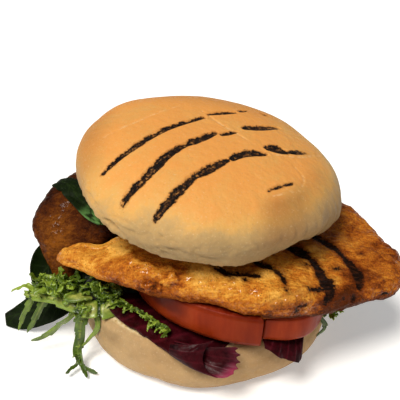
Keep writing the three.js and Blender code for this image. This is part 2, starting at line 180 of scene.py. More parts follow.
class Form:
    """A closed surface while it is being shaped: points, quads, triangles and named values per point."""

    def __init__(self, points, quads, tris=None):
        self.points = np.asarray(points, float)
        self.quads = np.asarray(quads, int).reshape(-1, 4)
        self.tris = np.zeros((0, 3), int) if tris is None else np.asarray(tris, int)
        self.values = {}

    def normals(self):
        """Normals of the points, weighted by area."""
        points, quads = self.points, self.quads
        total = np.zeros_like(points)
        for f in (quads[:, [0, 1, 2]], quads[:, [0, 2, 3]], self.tris):
            a, b, c = points[f[:, 0]], points[f[:, 1]], points[f[:, 2]]
            n = np.cross(b - a, c - a)
            for k in range(3):
                for axis in range(3):
                    total[:, axis] += np.bincount(f[:, k], n[:, axis], len(points))
        return unit(total)

    def push(self, distance):
        self.points = self.points + self.normals() * np.asarray(distance)[:, None]

    def rough(self, size, seed, octaves=3):
        return rough(self.points, size, seed, octaves)

    def near(self, line, distance):
        """1 on a line through space, falling to nothing over some times the distance."""
        return bell(to_line(self.points, line)[0] / distance)

    def faces(self):
        return [tuple(f) for f in self.quads.tolist()] + [tuple(f) for f in self.tris.tolist()]

    def tree(self):
        return BVHTree.FromPolygons([Vector(p) for p in self.points.tolist()], self.faces())

    def keep_clear(self, trees, gap):
        """Moves points that are inside a neighbour, or too close to it, out to its surface plus the gap."""
        points = self.points
        for tree in trees:
            for i in range(len(points)):
                p = Vector(points[i])
                hit, normal, _, distance = tree.find_nearest(p)
                if hit is None:
                    continue
                entered = (p - hit).dot(normal) < 0 and inside(tree, p)
                if entered or distance < gap:
                    points[i] = hit + normal * gap


def inside(tree, point):
    """Whether a point is inside a closed surface, seen both from above and from below."""
    for way in (Vector((0, 0, 1)), Vector((0, 0, -1))):
        normal = tree.ray_cast(point, way)[1]
        if normal is None or normal.dot(way) < 0:
            return False
    return True


def fit_between(form, level, below, above):
    """Presses a slab flat where it would enter what lies below or above it, seen from its middle level."""
    points = form.points
    middle = level(points[:, 0], points[:, 1])
    down, up = Vector((0, 0, -1)), Vector((0, 0, 1))
    for i, (x, y, z) in enumerate(points):
        start = Vector((x, y, middle[i]))
        if z < middle[i]:
            for tree in below:
                hit = tree.ray_cast(start, down)[0]
                if hit is not None:
                    points[i, 2] = max(points[i, 2], min(hit.z + GAP, middle[i]))
        else:
            for tree in above:
                hit = tree.ray_cast(start, up)[0]
                if hit is not None:
                    points[i, 2] = min(points[i, 2], max(hit.z - GAP, middle[i]))


def clipped(edge, middle, level, tree, gap):
    """The outline pulled in towards its middle where its middle level would enter a neighbour."""
    shares = np.linspace(0.05, 1, 96)
    kept = np.ones(len(edge))
    for i, corner in enumerate(edge):
        way = middle + (corner - middle) * shares[:, None]
        heights = level(way[:, 0], way[:, 1])
        for share, (x, y), z in zip(shares, way, heights):
            if inside(tree, Vector((x, y, z))):
                kept[i] = share - gap / np.linalg.norm(corner - middle)
                break
    around = np.stack([np.roll(kept, k) for k in range(-3, 4)])
    kept = np.minimum(kept, around.mean(axis=0))
    return middle + (edge - middle) * kept[:, None]


def join(forms):
    """Several forms as one."""
    points, quads, tris, start = [], [], [], 0
    for f in forms:
        points.append(f.points)
        quads.append(f.quads + start)
        tris.append(f.tris + start)
        start += len(f.points)
    whole = Form(np.concatenate(points), np.concatenate(quads), np.concatenate(tris))
    for key in forms[0].values:
        whole.values[key] = np.concatenate([f.values[key] for f in forms])
    return whole


def piece(name, form, material, node):
    """A mesh object that stands for a CAD node."""
    mesh = bpy.data.meshes.new(name)
    mesh.from_pydata((form.points * MM).tolist(), [], form.faces())
    mesh.polygons.foreach_set("use_smooth", [True] * len(mesh.polygons))
    for key, value in form.values.items():
        layer = mesh.attributes.new(key, "FLOAT", "POINT")
        layer.data.foreach_set("value", np.asarray(value, np.float32))
    mesh.materials.append(material)
    mesh.update()
    obj = bpy.data.objects.new(name, mesh)
    bpy.context.collection.objects.link(obj)
    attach(obj, "root")
    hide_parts(node)


def to_line(points, line):
    """Distance from each point to a broken line, and how far along the line that is, from 0 to 1."""
    line = np.asarray(line, float)
    best = np.full(len(points), 1e9)
    along = np.zeros(len(points))
    lengths = np.linalg.norm(np.diff(line, axis=0), axis=1)
    total, start = lengths.sum(), 0.0
    for a, b, length in zip(line[:-1], line[1:], lengths):
        t = np.clip(((points - a) @ (b - a)) / length**2, 0, 1)
        d = np.linalg.norm(points - (a + t[:, None] * (b - a)), axis=1)
        closer = d < best
        best = np.where(closer, d, best)
        along = np.where(closer, (start + t * length) / total, along)
        start += length
    return best, along


FAR_FROM_BARS = -20.0


def bars(points, lines):
    """How far inside the nearest seared line each point is, in millimetres, negative outside.
    Each line is (points, half width at its middle); it narrows to both ends."""
    depth = np.full(len(points), FAR_FROM_BARS)
    for line, half in lines:
        distance, along = to_line(points, curve(line)(np.linspace(0, 1, 4 * len(line))))
        width = half * (0.3 + 0.7 * np.sin(np.pi * (0.1 + 0.87 * along)) ** 0.6)
        depth = np.maximum(depth, width - distance)
    return depth


# Materials: a small way to write node graphs

def linear(colour):
    """A colour such as "c98f4a" in the linear values that shaders use."""
    channels = [int(colour[k : k + 2], 16) / 255 for k in (0, 2, 4)]
    return (*(c / 12.92 if c <= 0.04045 else ((c + 0.055) / 1.055) ** 2.4 for c in channels), 1)


class Graph:
    def __init__(self, name):
        self.material = bpy.data.materials.new(name)
        self.material.use_nodes = True
        self.tree = self.material.node_tree
        self.shader = self.tree.nodes["Principled BSDF"]
        self.place = self.node("ShaderNodeTexCoord").outputs["Object"]

    def node(self, kind, **inputs):
        made = self.tree.nodes.new(kind)
        for key, value in inputs.items():
            self.set(made.inputs[key.replace("_", " ")], value)
        return made

    def set(self, socket, value):
        if isinstance(value, bpy.types.NodeSocket):
            self.tree.links.new(value, socket)
        else:
            socket.default_value = linear(value) if isinstance(value, str) else value

    def attribute(self, name):
        made = self.node("ShaderNodeAttribute")
        made.attribute_name = name
        return made.outputs["Fac"]

    def stretched(self, scale, turn=(0, 0, 0)):
        return self.node("ShaderNodeMapping", Vector=self.place, Rotation=turn, Scale=scale).outputs["Vector"]

    def noise(self, size, detail=3, roughness=0.55, vector=None):
        made = self.node("ShaderNodeTexNoise", Scale=1 / (size * MM), Detail=detail, Roughness=roughness)
        self.set(made.inputs["Vector"], vector or self.place)
        return made.outputs["Fac"]

    def cells(self, size):
        made = self.node("ShaderNodeTexVoronoi", Scale=1 / (size * MM), Vector=self.place)
        return made.outputs["Distance"]

    def math(self, operation, a, b):
        made = self.node("ShaderNodeMath")
        made.operation = operation
        self.set(made.inputs[0], a)
        self.set(made.inputs[1], b)
        return made.outputs[0]

    def times(self, a, b):
        return self.math("MULTIPLY", a, b)

    def varied(self, value, *swings):
        """value with each noise, less its mean, times its amount added."""
        for swing, amount in swings:
            value = self.math("ADD", value, self.times(self.math("SUBTRACT", swing, 0.5), amount))
        return value

    def between(self, value, low, high, to_low=0.0, to_high=1.0):
        """value mapped smoothly from low..high to to_low..to_high, and held there outside."""
        made = self.node(
            "ShaderNodeMapRange", Value=value, From_Min=low, From_Max=high, To_Min=to_low, To_Max=to_high
        )
        made.interpolation_type = "SMOOTHSTEP"
        return made.outputs["Result"]

    def ramp(self, value, *stops):
        made = self.node("ShaderNodeValToRGB", Fac=value)
        elements = made.color_ramp.elements
        while len(elements) < len(stops):
            elements.new(0.5)
        for element, (position, colour) in zip(elements, stops):
            element.position = position
            element.color = linear(colour) if isinstance(colour, str) else (*colour, 1)
        return made.outputs["Color"]

    def mix(self, share, a, b):
        made = self.node("ShaderNodeMix")
        made.data_type = "RGBA"
        for k, value in ((0, share), (6, a), (7, b)):
            self.set(made.inputs[k], value)
        return made.outputs[2]

    def bump(self, height, distance, strength=1.0, under=None):
        made = self.node("ShaderNodeBump", Height=height, Distance=distance * MM, Strength=strength)
        if under is not None:
            self.set(made.inputs["Normal"], under)
        return made.outputs["Normal"]

    def finish(self, colour, roughness, normal, **others):
        inputs = dict(Base_Color=colour, Roughness=roughness, Normal=normal, Subsurface_Scale=1.0)
        for key, value in (inputs | others).items():
            if value is not None:
                self.set(self.shader.inputs[key.replace("_", " ")], value)
        return self.material


def bun_material(name, top, golden, side, foot):
    """Baked crust: browned where the toast_and_shade value is high, cream and darker below where it is low,
    darker again where the painted_shade value is high, with seared lines and bare crumb.
    """
    g = Graph(name)
    fine = g.noise(2.2, 4, 0.6)
    toast_and_shade = g.varied(g.attribute("toast_and_shade"), (g.noise(19, 5, 0.62), 1.0), (fine, 0.25))
    # The foot and side colours, used where toast_and_shade is low, are darkened as painted shade on the low
    # sides.
    crust = g.ramp(toast_and_shade, (0.0, foot), (0.36, side), (0.62, golden), (0.95, top))
    # Painted shade: the crust mixed towards 8f6233 where the painted_shade value is high.
    crust = g.mix(g.attribute("painted_shade"), crust, "8f6233")
    flour = g.between(g.noise(0.9, 3, 0.7), 0.56, 0.78, 0.0, 0.3)
    crust = g.mix(flour, crust, "ecd6ae")
    freckle = g.between(g.cells(2.6), 0.0, 0.14, 0.4, 0.0)
    crust = g.mix(freckle, crust, "a87440")
    crease = g.times(g.attribute("crease"), g.between(g.noise(2.4, 3, 0.7), 0.42, 0.58))
    crust = g.mix(g.times(crease, 0.5), crust, "f2cf98")
    seared = g.varied(g.attribute("sear"), (g.noise(1.2, 5, 0.75), 2.4), (g.noise(4.5, 2), 2.4))
    halo = g.between(seared, -0.8, 0.3, 0.0, 0.65)
    crust = g.mix(halo, crust, "9a5c26")
    black = g.between(seared, -0.1, 0.3)
    blotch = g.noise(1.9, 4, 0.7)
    char = g.ramp(blotch, (0.38, "060302"), (0.5, "150905"), (0.57, "5e3817"), (0.65, "c08646"))
    rim = g.between(seared, 0.35, 1.1, 1.0, 0.0)
    crust = g.mix(black, crust, g.mix(rim, char, "0a0503"))
    pores = g.cells(1.6)
    crumb = g.ramp(pores, (0.0, "a9834f"), (0.35, "d8bc86"), (0.8, "e6d0a4"))
    colour = g.mix(g.attribute("crumb"), crust, crumb)
    roughness = g.math("SUBTRACT", g.between(fine, 0.3, 0.7, 0.55, 0.72), g.times(black, 0.3))
    skin = g.bump(g.noise(0.7, 4, 0.65), 0.1, 0.8)
    skin = g.bump(g.noise(3.5, 3, 0.5), 0.7, 0.8, skin)
    skin = g.bump(g.times(g.noise(0.9, 4, 0.8), black), 0.7, 1.0, skin)
    skin = g.bump(g.times(pores, g.attribute("crumb")), 0.9, 0.9, skin)
    return g.finish(
        colour, roughness, skin, Subsurface_Weight=0.1, Subsurface_Radius=(0.004, 0.002, 0.001),
        Specular_IOR_Level=0.2,
    )


def chicken_material(name, bright, pale, mid, deep, burnt, herbs, wetness):
    """Grilled, spiced meat: golden with browner patches, specks of spice and small wet lights; the
    brown_and_painted_light value also carries painted light and shade.
    """
    g = Graph(name)
    fibre = g.noise(1.3, 4, 0.7, g.stretched((0.3, 1.0, 1.0), (0, 0, 0.35)))
    crumbs = g.noise(0.8, 4, 0.7)
    brown_and_painted_light = g.varied(g.attribute("brown_and_painted_light"), (g.noise(9, 4, 0.65), 1.7), (fibre, 1.2), (crumbs, 0.9))
    brown_and_painted_light = g.math("ADD", g.times(brown_and_painted_light, 0.8), 0.2)
    colour = g.ramp(brown_and_painted_light, (0.0, bright), (0.22, pale), (0.48, mid), (0.76, deep), (1.0, burnt))
    colour = g.mix(g.attribute("pale"), colour, "c08a42")
    speck = g.between(g.cells(1.1), 0.0, 0.34, 0.9, 0.0)
    where = g.between(g.noise(5, 3, 0.6), 0.42, 0.6)
    colour = g.mix(g.times(speck, where), colour, "451a06")
    herb = g.between(g.cells(2.1), 0.0, 0.15, herbs, 0.0)
    colour = g.mix(herb, colour, "1f0e05")
    seared = g.varied(g.attribute("sear"), (g.noise(1.0, 4, 0.75), 3.4), (g.noise(3.4, 2), 2.6))
    colour = g.mix(g.between(seared, -2.2, 0.4, 0.0, 0.7), colour, "5e270a")
    char = g.ramp(fibre, (0.3, "0a0402"), (0.5, "1c0c05"), (0.72, "54290f"))
    colour = g.mix(g.between(seared, -0.1, 0.4), colour, char)
    roughness = g.between(g.noise(2.2, 3, 0.6), 0.38, 0.62, 0.42, 0.7)
    relief = g.bump(crumbs, 0.5, 0.9)
    relief = g.bump(fibre, 0.9, 0.9, relief)
    relief = g.bump(g.noise(2.6, 3, 0.6), 1.2, 0.8, relief)
    wet = g.between(g.noise(0.9, 3, 0.7), 0.5, 0.6, 0.0, wetness)
    wet = g.times(wet, g.between(g.attribute("brown_and_painted_light"), 0.5, 0.8, 1.0, 0.15))
    return g.finish(
        colour, roughness, relief, Subsurface_Weight=0.04, Subsurface_Radius=(0.003, 0.001, 0.0004),
        Specular_IOR_Level=0.06, Coat_Weight=wet, Coat_Roughness=0.12,
    )


def tomato_material():
    """Smooth skin round the arc with faint streaks across it, wet flesh on the cut faces, and painted shade
    where the deep value is high.
    """
    g = Graph("tomato")
    streak = g.noise(6, 4, 0.55, g.stretched((1.0, 1.0, 0.25)))
    skin = g.ramp(streak, (0.3, "7a2408"), (0.5, "8c2e0c"), (0.72, "9d3c16"))
    dots = g.between(g.cells(1.5), 0.0, 0.12, 0.3, 0.0)
    skin = g.mix(dots, skin, "b9602f")
    flesh = g.ramp(g.noise(3.0, 4, 0.6), (0.3, "6d1a09"), (0.55, "8f2c14"), (0.75, "b25436"))
    colour = g.mix(g.attribute("flesh"), skin, flesh)
    # Painted shade: darker where the deep value is high.
    colour = g.mix(g.attribute("deep"), colour, "440b01")
    roughness = g.between(g.noise(4, 2), 0.35, 0.65, 0.3, 0.46)
    relief = g.bump(g.noise(5, 3, 0.5), 0.35, 0.4)
    relief = g.bump(g.noise(0.8, 3, 0.6), 0.04, 0.5, relief)
    relief = g.bump(g.times(g.noise(2.0, 4, 0.7), g.attribute("flesh")), 0.4, 0.6, relief)
    return g.finish(
        colour, roughness, relief, Subsurface_Weight=0.15, Subsurface_Radius=(0.005, 0.001, 0.0005),
        Specular_IOR_Level=0.08, Coat_Weight=0.02, Coat_Roughness=0.2,
    )


def leaf_material(name, dark, light, vein, rim, gloss, veins=0.8):
    """A leaf: mottled blade, paler veins, and a rim colour, which is a lighter tip on the top leaf and a
    painted pink highlight on the scoop's lip.
    """
    g = Graph(name)
    fine = g.noise(0.9, 3, 0.6)
    blade = g.ramp(g.noise(5, 4, 0.6), (0.32, dark), (0.7, light))
    blade = g.mix(g.between(fine, 0.45, 0.7, 0.0, 0.35), blade, light)
    colour = g.mix(g.times(g.attribute("vein"), veins), blade, vein)
    # Painted highlight on the scoop's lip, and a lighter tip on the top leaf, where the rim value is high.
    colour = g.mix(g.attribute("rim"), colour, rim)
    relief = g.bump(fine, 0.08, 0.6)
    relief = g.bump(g.noise(2.4, 3, 0.55), 0.35, 0.6, relief)
    relief = g.bump(g.attribute("vein"), 0.25, 0.7, relief)
    return g.finish(
        colour, g.between(fine, 0.35, 0.65, gloss, gloss + 0.18), relief, Subsurface_Weight=0.08,
        Subsurface_Radius=(0.002, 0.002, 0.0007), Subsurface_Scale=0.6, Specular_IOR_Level=0.09,
        Coat_Weight=0.02, Coat_Roughness=0.3,
    )


def endive_material():
    """Curly endive: yellow-green to dark green leaflets with pale, wet ribs."""
    g = Graph("curly_endive")
    # Darker green where the shade value is low: a tone per frond, and painted shade at the stem's gaps and
    # the bed's front.
    patch = g.math("ADD", g.times(g.attribute("shade"), 0.6), g.times(g.noise(4, 3, 0.6), 0.6))
    blade = g.ramp(patch, (0.0, "101a04"), (0.25, "2c420b"), (0.5, "526a16"), (0.85, "8aa034"))
    rib = g.ramp(g.noise(2.2, 3, 0.6), (0.3, "5f6a24"), (0.7, "b2b358"))
    colour = g.mix(g.between(g.attribute("vein"), 0.12, 0.7), blade, rib)
    roughness = g.between(g.noise(1.6, 3), 0.35, 0.65, 0.28, 0.5)
    relief = g.bump(g.noise(0.6, 3, 0.6), 0.1, 0.6)
    relief = g.bump(g.noise(1.8, 3, 0.6), 0.3, 0.5, relief)
    return g.finish(
        colour, roughness, relief, Subsurface_Weight=0.12, Subsurface_Radius=(0.002, 0.002, 0.0006),
        Subsurface_Scale=0.6, Specular_IOR_Level=0.4, Coat_Weight=0.15, Coat_Roughness=0.2,
    )


# Buns

HEEL = Sizes(radius=55, foot=44, belt=14, height=24, rim=4.5, uneven=0.7, rings=140)
# The crown's side follows powers, where 2 would be an ellipse and more is fuller.
CROWN = Sizes(
    radius=54.5, dome=20.5, dome_power=2.2, below=17.5, below_power=2.6, cut=13.5, at=(1.4, 0.8, 72),
    lean=10, nod=2, uneven=0.9, rings=200,
)
BUN_SPOKES = 420
# Where the side of the crown has sunk or swollen: bearing and spread in degrees, amount in millimetres.
CROWN_LIFTS = [(-42, 12, 4.4), (-110, 12, -1.9)]
CROWN_SWELLS = [(-46, 26, -4.6), (-14, 12, 3)]


def turned(points, lean, nod, at):
    """Points turned by nod about X, then by lean about Y, and moved, as in the CAD."""
    a, b = math.radians(nod), math.radians(lean)
    about_x = np.array([[1, 0, 0], [0, math.cos(a), -math.sin(a)], [0, math.sin(a), math.cos(a)]])
    about_y = np.array([[math.cos(b), 0, math.sin(b)], [0, 1, 0], [-math.sin(b), 0, math.cos(b)]])
    return points @ (about_y @ about_x).T + np.array(at)


def bun(profile, uneven, rings):
    """A turned form from a dense profile, pushed slightly out of round."""
    steps = np.linalg.norm(np.diff(profile, axis=0), axis=1)
    length = np.concatenate([[0], np.cumsum(steps)])
    wanted = np.linspace(0, length[-1], rings + 2)[1:-1]
    r = np.interp(wanted, length, profile[:, 0])
    z = np.interp(wanted, length, profile[:, 1])
    turn = 2 * np.pi * np.arange(BUN_SPOKES) / BUN_SPOKES
    x = (r[:, None] * np.cos(turn)).ravel()
    y = (r[:, None] * np.sin(turn)).ravel()
    h = np.repeat(z, BUN_SPOKES)
    share = 1 + uneven * lumps(x, y, h, 46, 1.7) / 55
    points = np.stack([x * share, y * share, h], axis=1)
    ends = [[0, 0, profile[0, 1]], [0, 0, profile[-1, 1]]]
    quads, tris = ring_faces(rings, BUN_SPOKES)
    return Form(np.concatenate([points, ends]), quads, tris)


def heel_form():
    """The bottom half: a soft side on a flat foot, and bare crumb on top."""
    s = HEEL
    k = np.linspace(0, np.pi / 2, 40)
    side = np.stack([s.foot + (s.radius - s.foot) * np.sin(k), s.belt * (1 - np.cos(k))], axis=1)
    rim_x = s.radius - 1 - s.rim * (1 - np.cos(k))
    rim = np.stack([rim_x, s.height - s.rim + s.rim * np.sin(k)], axis=1)
    form = bun(np.concatenate([[[0, 0]], side, rim, [[0, s.height]]]), s.uneven, s.rings)
    x, y, z = form.points.T
    radius = np.hypot(x, y)
    top = rise(z - s.height, -1.2, 1.0) * fall(radius, s.radius - 3.5, 1.5)
    foot = z < 0.05
    dents = 0.45 * form.rough(16, 5) + 0.2 * form.rough(5, 9)
    dents = dents - 0.3 * smooth(np.abs(form.rough((14, 14, 3.5), 44)) * -8 + 1) * rise(z, 1, 3)
    crumb = top * (0.3 * form.rough(2.2, 3) - 0.2)
    form.push(np.where(foot, 0, dents * (1 - top) + crumb) - 0.12)
    form.points[:, 2] = np.maximum(form.points[:, 2], 0)
    # Painted shade: toast_and_shade lowered near the bottom, so darker there.
    form.values["toast_and_shade"] = 0.33 + 0.35 * form.rough((20, 20, 9), 4, 2) - 0.2 * fall(z, 6, 6)
    # Painted shade: the heel darker towards the right on its front half.
    form.values["painted_shade"] = 0.3 * rise(x, -38, 25) * rise(y, -60, 12) * fall(y, 0, 20)
    form.values["sear"] = np.full(len(z), FAR_FROM_BARS)
    form.values["crease"] = np.zeros(len(z))
    form.values["crumb"] = top
    return form


# The seared lines on the crown, as (points in the crown's own x and y, half width).
CROWN_BARS = [
    ([(-41.4, -27.6), (-35.8, -21.2), (-29, -13.7), (-20.9, -4.1), (-13.3, 2.9), (-5.6, 9.6)], 1.4),
    ([(-3.5, 13.4), (2.1, 16.6), (7.8, 19.8)], 1.25),
    ([(9.7, 22.3), (13.1, 26.3)], 0.9),
    ([(20.6, 28.7), (23.7, 27.8)], 1.2),
    ([(-32.3, -41.6), (-31.2, -39.5), (-27.4, -35.1), (-23, -28.6), (-18.1, -20.8), (-10.9, -12.6)], 1.75),
    ([(-12, -14), (-6, -8), (-1, -2.6)], 1.75),
    ([(1.6, -3.2), (7.4, 1.3)], 1.2),
    ([(11.3, 5.9), (18.8, 10), (26.4, 15.8)], 1.9),
    ([(-19.7, -47.6), (-18.6, -46.3), (-16.3, -43.3), (-12.6, -38.1), (-8.3, -32.2), (-4, -28)], 1.8),
    ([(-8, -32), (-2.9, -27.2), (3.4, -20.9)], 2.0),
    ([(5.7, -19), (9.3, -15.3), (13.4, -13.1), (19.2, -11.2)], 1.9),
    ([(20.2, -6.4), (23.6, -5.4), (28, -5.3)], 2.4),
    ([(26, -5), (29, -4.6), (33, -2.4), (37.8, 1.5)], 0.95),
    ([(19.6, -32.4), (24, -28.7), (29.1, -24.7)], 0.6),
]
CROWN_CREASES = [
    ([(-43.9, -7.5), (-31.1, 3.6), (-16.4, 18.6)], 0.5),
    ([(-6.4, 15.5), (1.7, 5.4), (12.1, -4)], 0.5),
    ([(21.6, -10.1), (34, -4.9), (48.1, 10.4)], 0.5),
    ([(31, -13), (34.5, -18), (33.5, -24)], 0.5),
    ([(19, -36), (26, -31), (33, -26)], 0.4),
]


def slumped(points):
    """The crown once its soft side has given way, as in the CAD."""
    x, y, z = points.T
    bearing = np.degrees(np.arctan2(y, x))

    def total(places):
        apart = [((bearing - at + 180) % 360 - 180) / spread for at, spread, _ in places]
        return sum(amount * bell(a) for a, (_, _, amount) in zip(apart, places))

    z = z + fall(z, 0, CROWN.cut) * rise(np.hypot(x, y), 15, 20) * total(CROWN_LIFTS)
    share = 1 + bell((z + 5) / 8) * total(CROWN_SWELLS) / CROWN.radius
    return np.column_stack([x * share, y * share, z])


def crown_form():
    """The top half: domed, slumped at its soft side, with wrinkles, ribs, folds, creases and seared bars."""
    s = CROWN

    def bow(k, height, power):
        return np.stack([s.radius * np.cos(k) ** (2 / power), height * np.sin(k) ** (2 / power)], axis=1)

    cut_turn = math.asin((s.cut / s.below) ** (s.below_power / 2))
    lower = bow(np.linspace(cut_turn, 0, 60), -s.below, s.below_power)
    upper = bow(np.linspace(0, np.pi / 2, 160), s.dome, s.dome_power)
    profile = np.concatenate([[[0, -s.cut], [lower[0, 0] - 2.4, -s.cut]], lower, upper])
    form = bun(profile, s.uneven, s.rings)
    x, y, z = form.points.T
    under = fall(z, -s.cut + 0.8, 0.6) * fall(np.hypot(x, y), lower[0, 0] - 0.5, 1.5)
    form.points = slumped(form.points)
    x, y, z = form.points.T
    flat = np.stack([x, y], axis=1)
    sear = np.where(z > -2, bars(flat, CROWN_BARS), FAR_FROM_BARS)
    crease = np.where(z > -2, smooth(bars(flat, CROWN_CREASES) / 0.8 + 0.4), 0.0)
    low_side = fall(z, 4, 8) * (1 - under)
    turn = np.arctan2(y, x)
    wrinkle_place = np.stack([turn * 40, z * 0.8, np.zeros(len(z))], axis=1)
    wrinkles = -0.8 * np.abs(rough(wrinkle_place, (5, 9, 1), 21)) * low_side
    left_low = fall(y, -20, 20) * fall(x, 5, 25) * low_side
    dimples = -1.7 * smooth(form.rough((6, 6, 3.4), 31) * 2 - 0.1) * left_low
    groove = stripes(turn * 9.5 + 0.5 * noise(form.points, 18, 8), 0.13)
    groove = groove * (0.6 + 0.6 * noise(form.points, 9, 15))
    ribs = (-0.9 * groove + 0.3 * np.sin(turn * 26)) * rise(x, 16, 14) * fall(y, -2, 18)
    ribs = ribs * fall(np.abs(z + 1), 12, 8)
    front_low = fall(z, 10, 10) * fall(y, -12, 18) * fall(x, 32, 25) * (1 - under)
    lines = smooth(1 - 5 * np.abs(form.rough((11, 11, 4), 57)))
    small = 0.8 * form.rough((4.4, 4.4, 2.4), 58) + 0.35 * form.rough((2.2, 2.2, 1.4), 59)
    folds = front_low * (small - 0.6 * lines)
    relief = 0.55 * form.rough(26, 2, 2) + 0.12 * form.rough(6, 12)
    relief = relief + wrinkles + dimples + ribs + folds
    seared = rise(sear, -0.5, 1.0)
    relief = relief - 0.55 * seared + 0.14 * smooth(1 - np.abs(sear + 0.9) / 0.8) - 0.3 * crease
    form.push(relief * (1 - under) + under * (0.3 * form.rough(2.2, 3) - 0.1))
    left = fall(x, -10, 40)
    right = rise(x, 5, 40)
    form.values["toast_and_shade"] = 0.1 + 0.85 * smooth((z + 4 + 9 * left) / 24) + 0.12 * rise(y, 10, 40)
    # Painted shade: toast_and_shade lowered on the low front and on the low right side.
    form.values["toast_and_shade"] -= 0.16 * fall(z, 12, 6) * fall(y, -10, 15) * (1 - left)
    form.values["toast_and_shade"] -= 0.3 * right * fall(z, 16, 16)
    # Painted shade: the crown's right side where it turns away from the light, and its far left and back
    # edges.
    turned_away = rise(x, 12, 12) * (1 - 0.6 * rise(x, 30, 10)) * fall(z, 16, 3)
    far_edge = 0.5 * fall(x, -38, 14) * rise(y, -34, 16) + 0.3 * rise(y, 16, 26)
    form.values["painted_shade"] = 0.6 * turned_away * rise(z, -3, 8) * fall(y, 0, 12) + far_edge
    form.values["sear"] = sear
    form.values["crease"] = crease * (1 - seared)
    form.values["crumb"] = under
    form.points = turned(form.points, s.lean, s.nod, s.at)
    return form


heel = heel_form()
crown = crown_form()
heel_tree = heel.tree()
crown_tree = crown.tree()
# The side and foot colours of both halves are darkened as painted shade.
crown_look = bun_material("bun_crown_crust", "e49c4e", "d9a55a", "bb9862", "9b8057")
heel_look = bun_material("bun_heel_crust", "c29a62", "bb9865", "b59569", "967a54")
piece("crown_of_the_bun", crown, crown_look, "bun_crown")
piece("heel_of_the_bun", heel, heel_look, "bun_heel")


# Tomato

# A slice's arc is rounder or squarer by its power: 1 is an ellipse, less is squarer.
LEFT_TOMATO = Sizes(
    at=(21.4, -9.5, 33.1), half_width=52.5, half_depth=45, power=1.06, thick=13.4, roll=4.5, side=-1, reach=0,
)
RIGHT_TOMATO = Sizes(
    at=(22.4, -13, 33.8), half_width=28, half_depth=39.3, power=0.58, thick=11.6, roll=4, side=1, reach=0.6,
)


def tomato_form(s):
    """Half a thick slice: skin round the arc, a straight cut, a softly rounded edge, and a deep value for
    painted shade.
    """
    k = np.linspace(-np.pi / 2, np.pi / 2, 221)
    along = np.clip(np.cos(k), 0, 1) ** s.power
    arc = evenly(np.stack([along * s.half_width, np.sin(k) * s.half_depth], axis=1), 221)
    back = np.linspace(1, -1, 92)[1:-1] * s.half_depth
    outline = np.concatenate([arc, np.stack([np.zeros(90), back], axis=1)])
    outline[:, 0] -= s.reach * (outline[:, 0] < 0.01)
    outline[:, 0] *= s.side
    if s.side < 0:
        outline = outline[::-1]
    middle = np.array([s.side * s.half_width * 0.4, 0])
    reach = np.linalg.norm(outline - middle, axis=1)
    half = s.thick / 2
    edge = 1.1

    def ring(inset, height):
        flat = middle + (outline - middle) * (1 - inset / reach)[:, None]
        return np.column_stack([flat, np.full(len(flat), height)])

    face = [reach.min() * share for share in (0.97, 0.85, 0.7, 0.55, 0.42, 0.3, 0.2, 0.12)]
    corner = [(edge * (1 - math.sin(t)), half - edge * (1 - math.cos(t))) for t in np.linspace(0.2, 1.5, 5)]
    wall = [(-0.5 * (1 - (h / half) ** 2), h) for h in np.linspace(-half + edge, half - edge, 14)]
    steps = [(i, -half) for i in face] + [(i, -h) for i, h in corner] + wall
    steps += [(i, h) for i, h in reversed(corner)] + [(i, half) for i in reversed(face)]
    rings = [ring(i, h) for i, h in steps]
    quads, tris = ring_faces(len(rings), len(outline))
    form = Form(np.concatenate([*rings, [[*middle, -half], [*middle, half]]]), quads, tris)
    x, y, z = form.points.T
    face_share = rise(np.abs(z) - half, -0.5, 0.4)
    cut_share = fall(np.abs(x), 3.0, 2.0) * fall(np.abs(y), s.half_depth - 1.5, 2)
    flesh = np.maximum(face_share, cut_share)
    form.push(0.4 * form.rough(17, 6, 2) + flesh * 0.25 * form.rough(3.5, 7) - 0.15)
    form.values["flesh"] = flesh
    # Painted shade: darker near the top face under the fillet; on the left slice also at its far end and near
    # its cut, on the right slice a little all over.
    left_end = fall(x, -24, 14)
    height = z - half
    shaded = 0.9 * left_end * rise(height, -9, 4) + 0.35 * rise(height, -2.5, 2) + 0.3 * left_end
    deep = shaded + (0.35 * rise(x, -16, 8) if s.side < 0 else 0.15)
    form.values["deep"] = np.minimum(deep, 0.8)
    form.points = turned(form.points, s.roll, 0, s.at)
    return form


tomatoes = [tomato_form(LEFT_TOMATO), tomato_form(RIGHT_TOMATO)]
tomato_trees = [t.tree() for t in tomatoes]
tomato_look = tomato_material()
piece("tomato_slice_left", tomatoes[0], tomato_look, "tomato_left")
piece("tomato_slice_right", tomatoes[1], tomato_look, "tomato_right")


# Chicken

def hump(x, y, at, radius, height):
    return height * np.exp(-((x - at[0]) ** 2 + (y - at[1]) ** 2) / radius**2)


def front_level(x, y):
    level = 48.2 - 0.0015 * np.minimum(x, 0) ** 2 - 0.13 * np.maximum(x - 3, 0)
    return level + 0.07 * (y + 20) * rise(x, 20, 30) + hump(x, y, (-33, -15), 5, 3.5)


def front_thickness(x, y):
    return 14.5 - 6 * fall(x, -8, 45) - 4 * rise(x, 25, 50)


def back_level(x, y):
    flat = 49.5 - 0.11 * x - 0.012 * np.maximum(-x - 48, 0) ** 2
    return flat - 0.05 * np.maximum(6 - y, 0) ** 1.9 * fall(x, -36, 20)


def back_thickness(x, y):
    return 14 - 5 * fall(x, -45, 25) - 1.5 * fall(y, 10, 20)


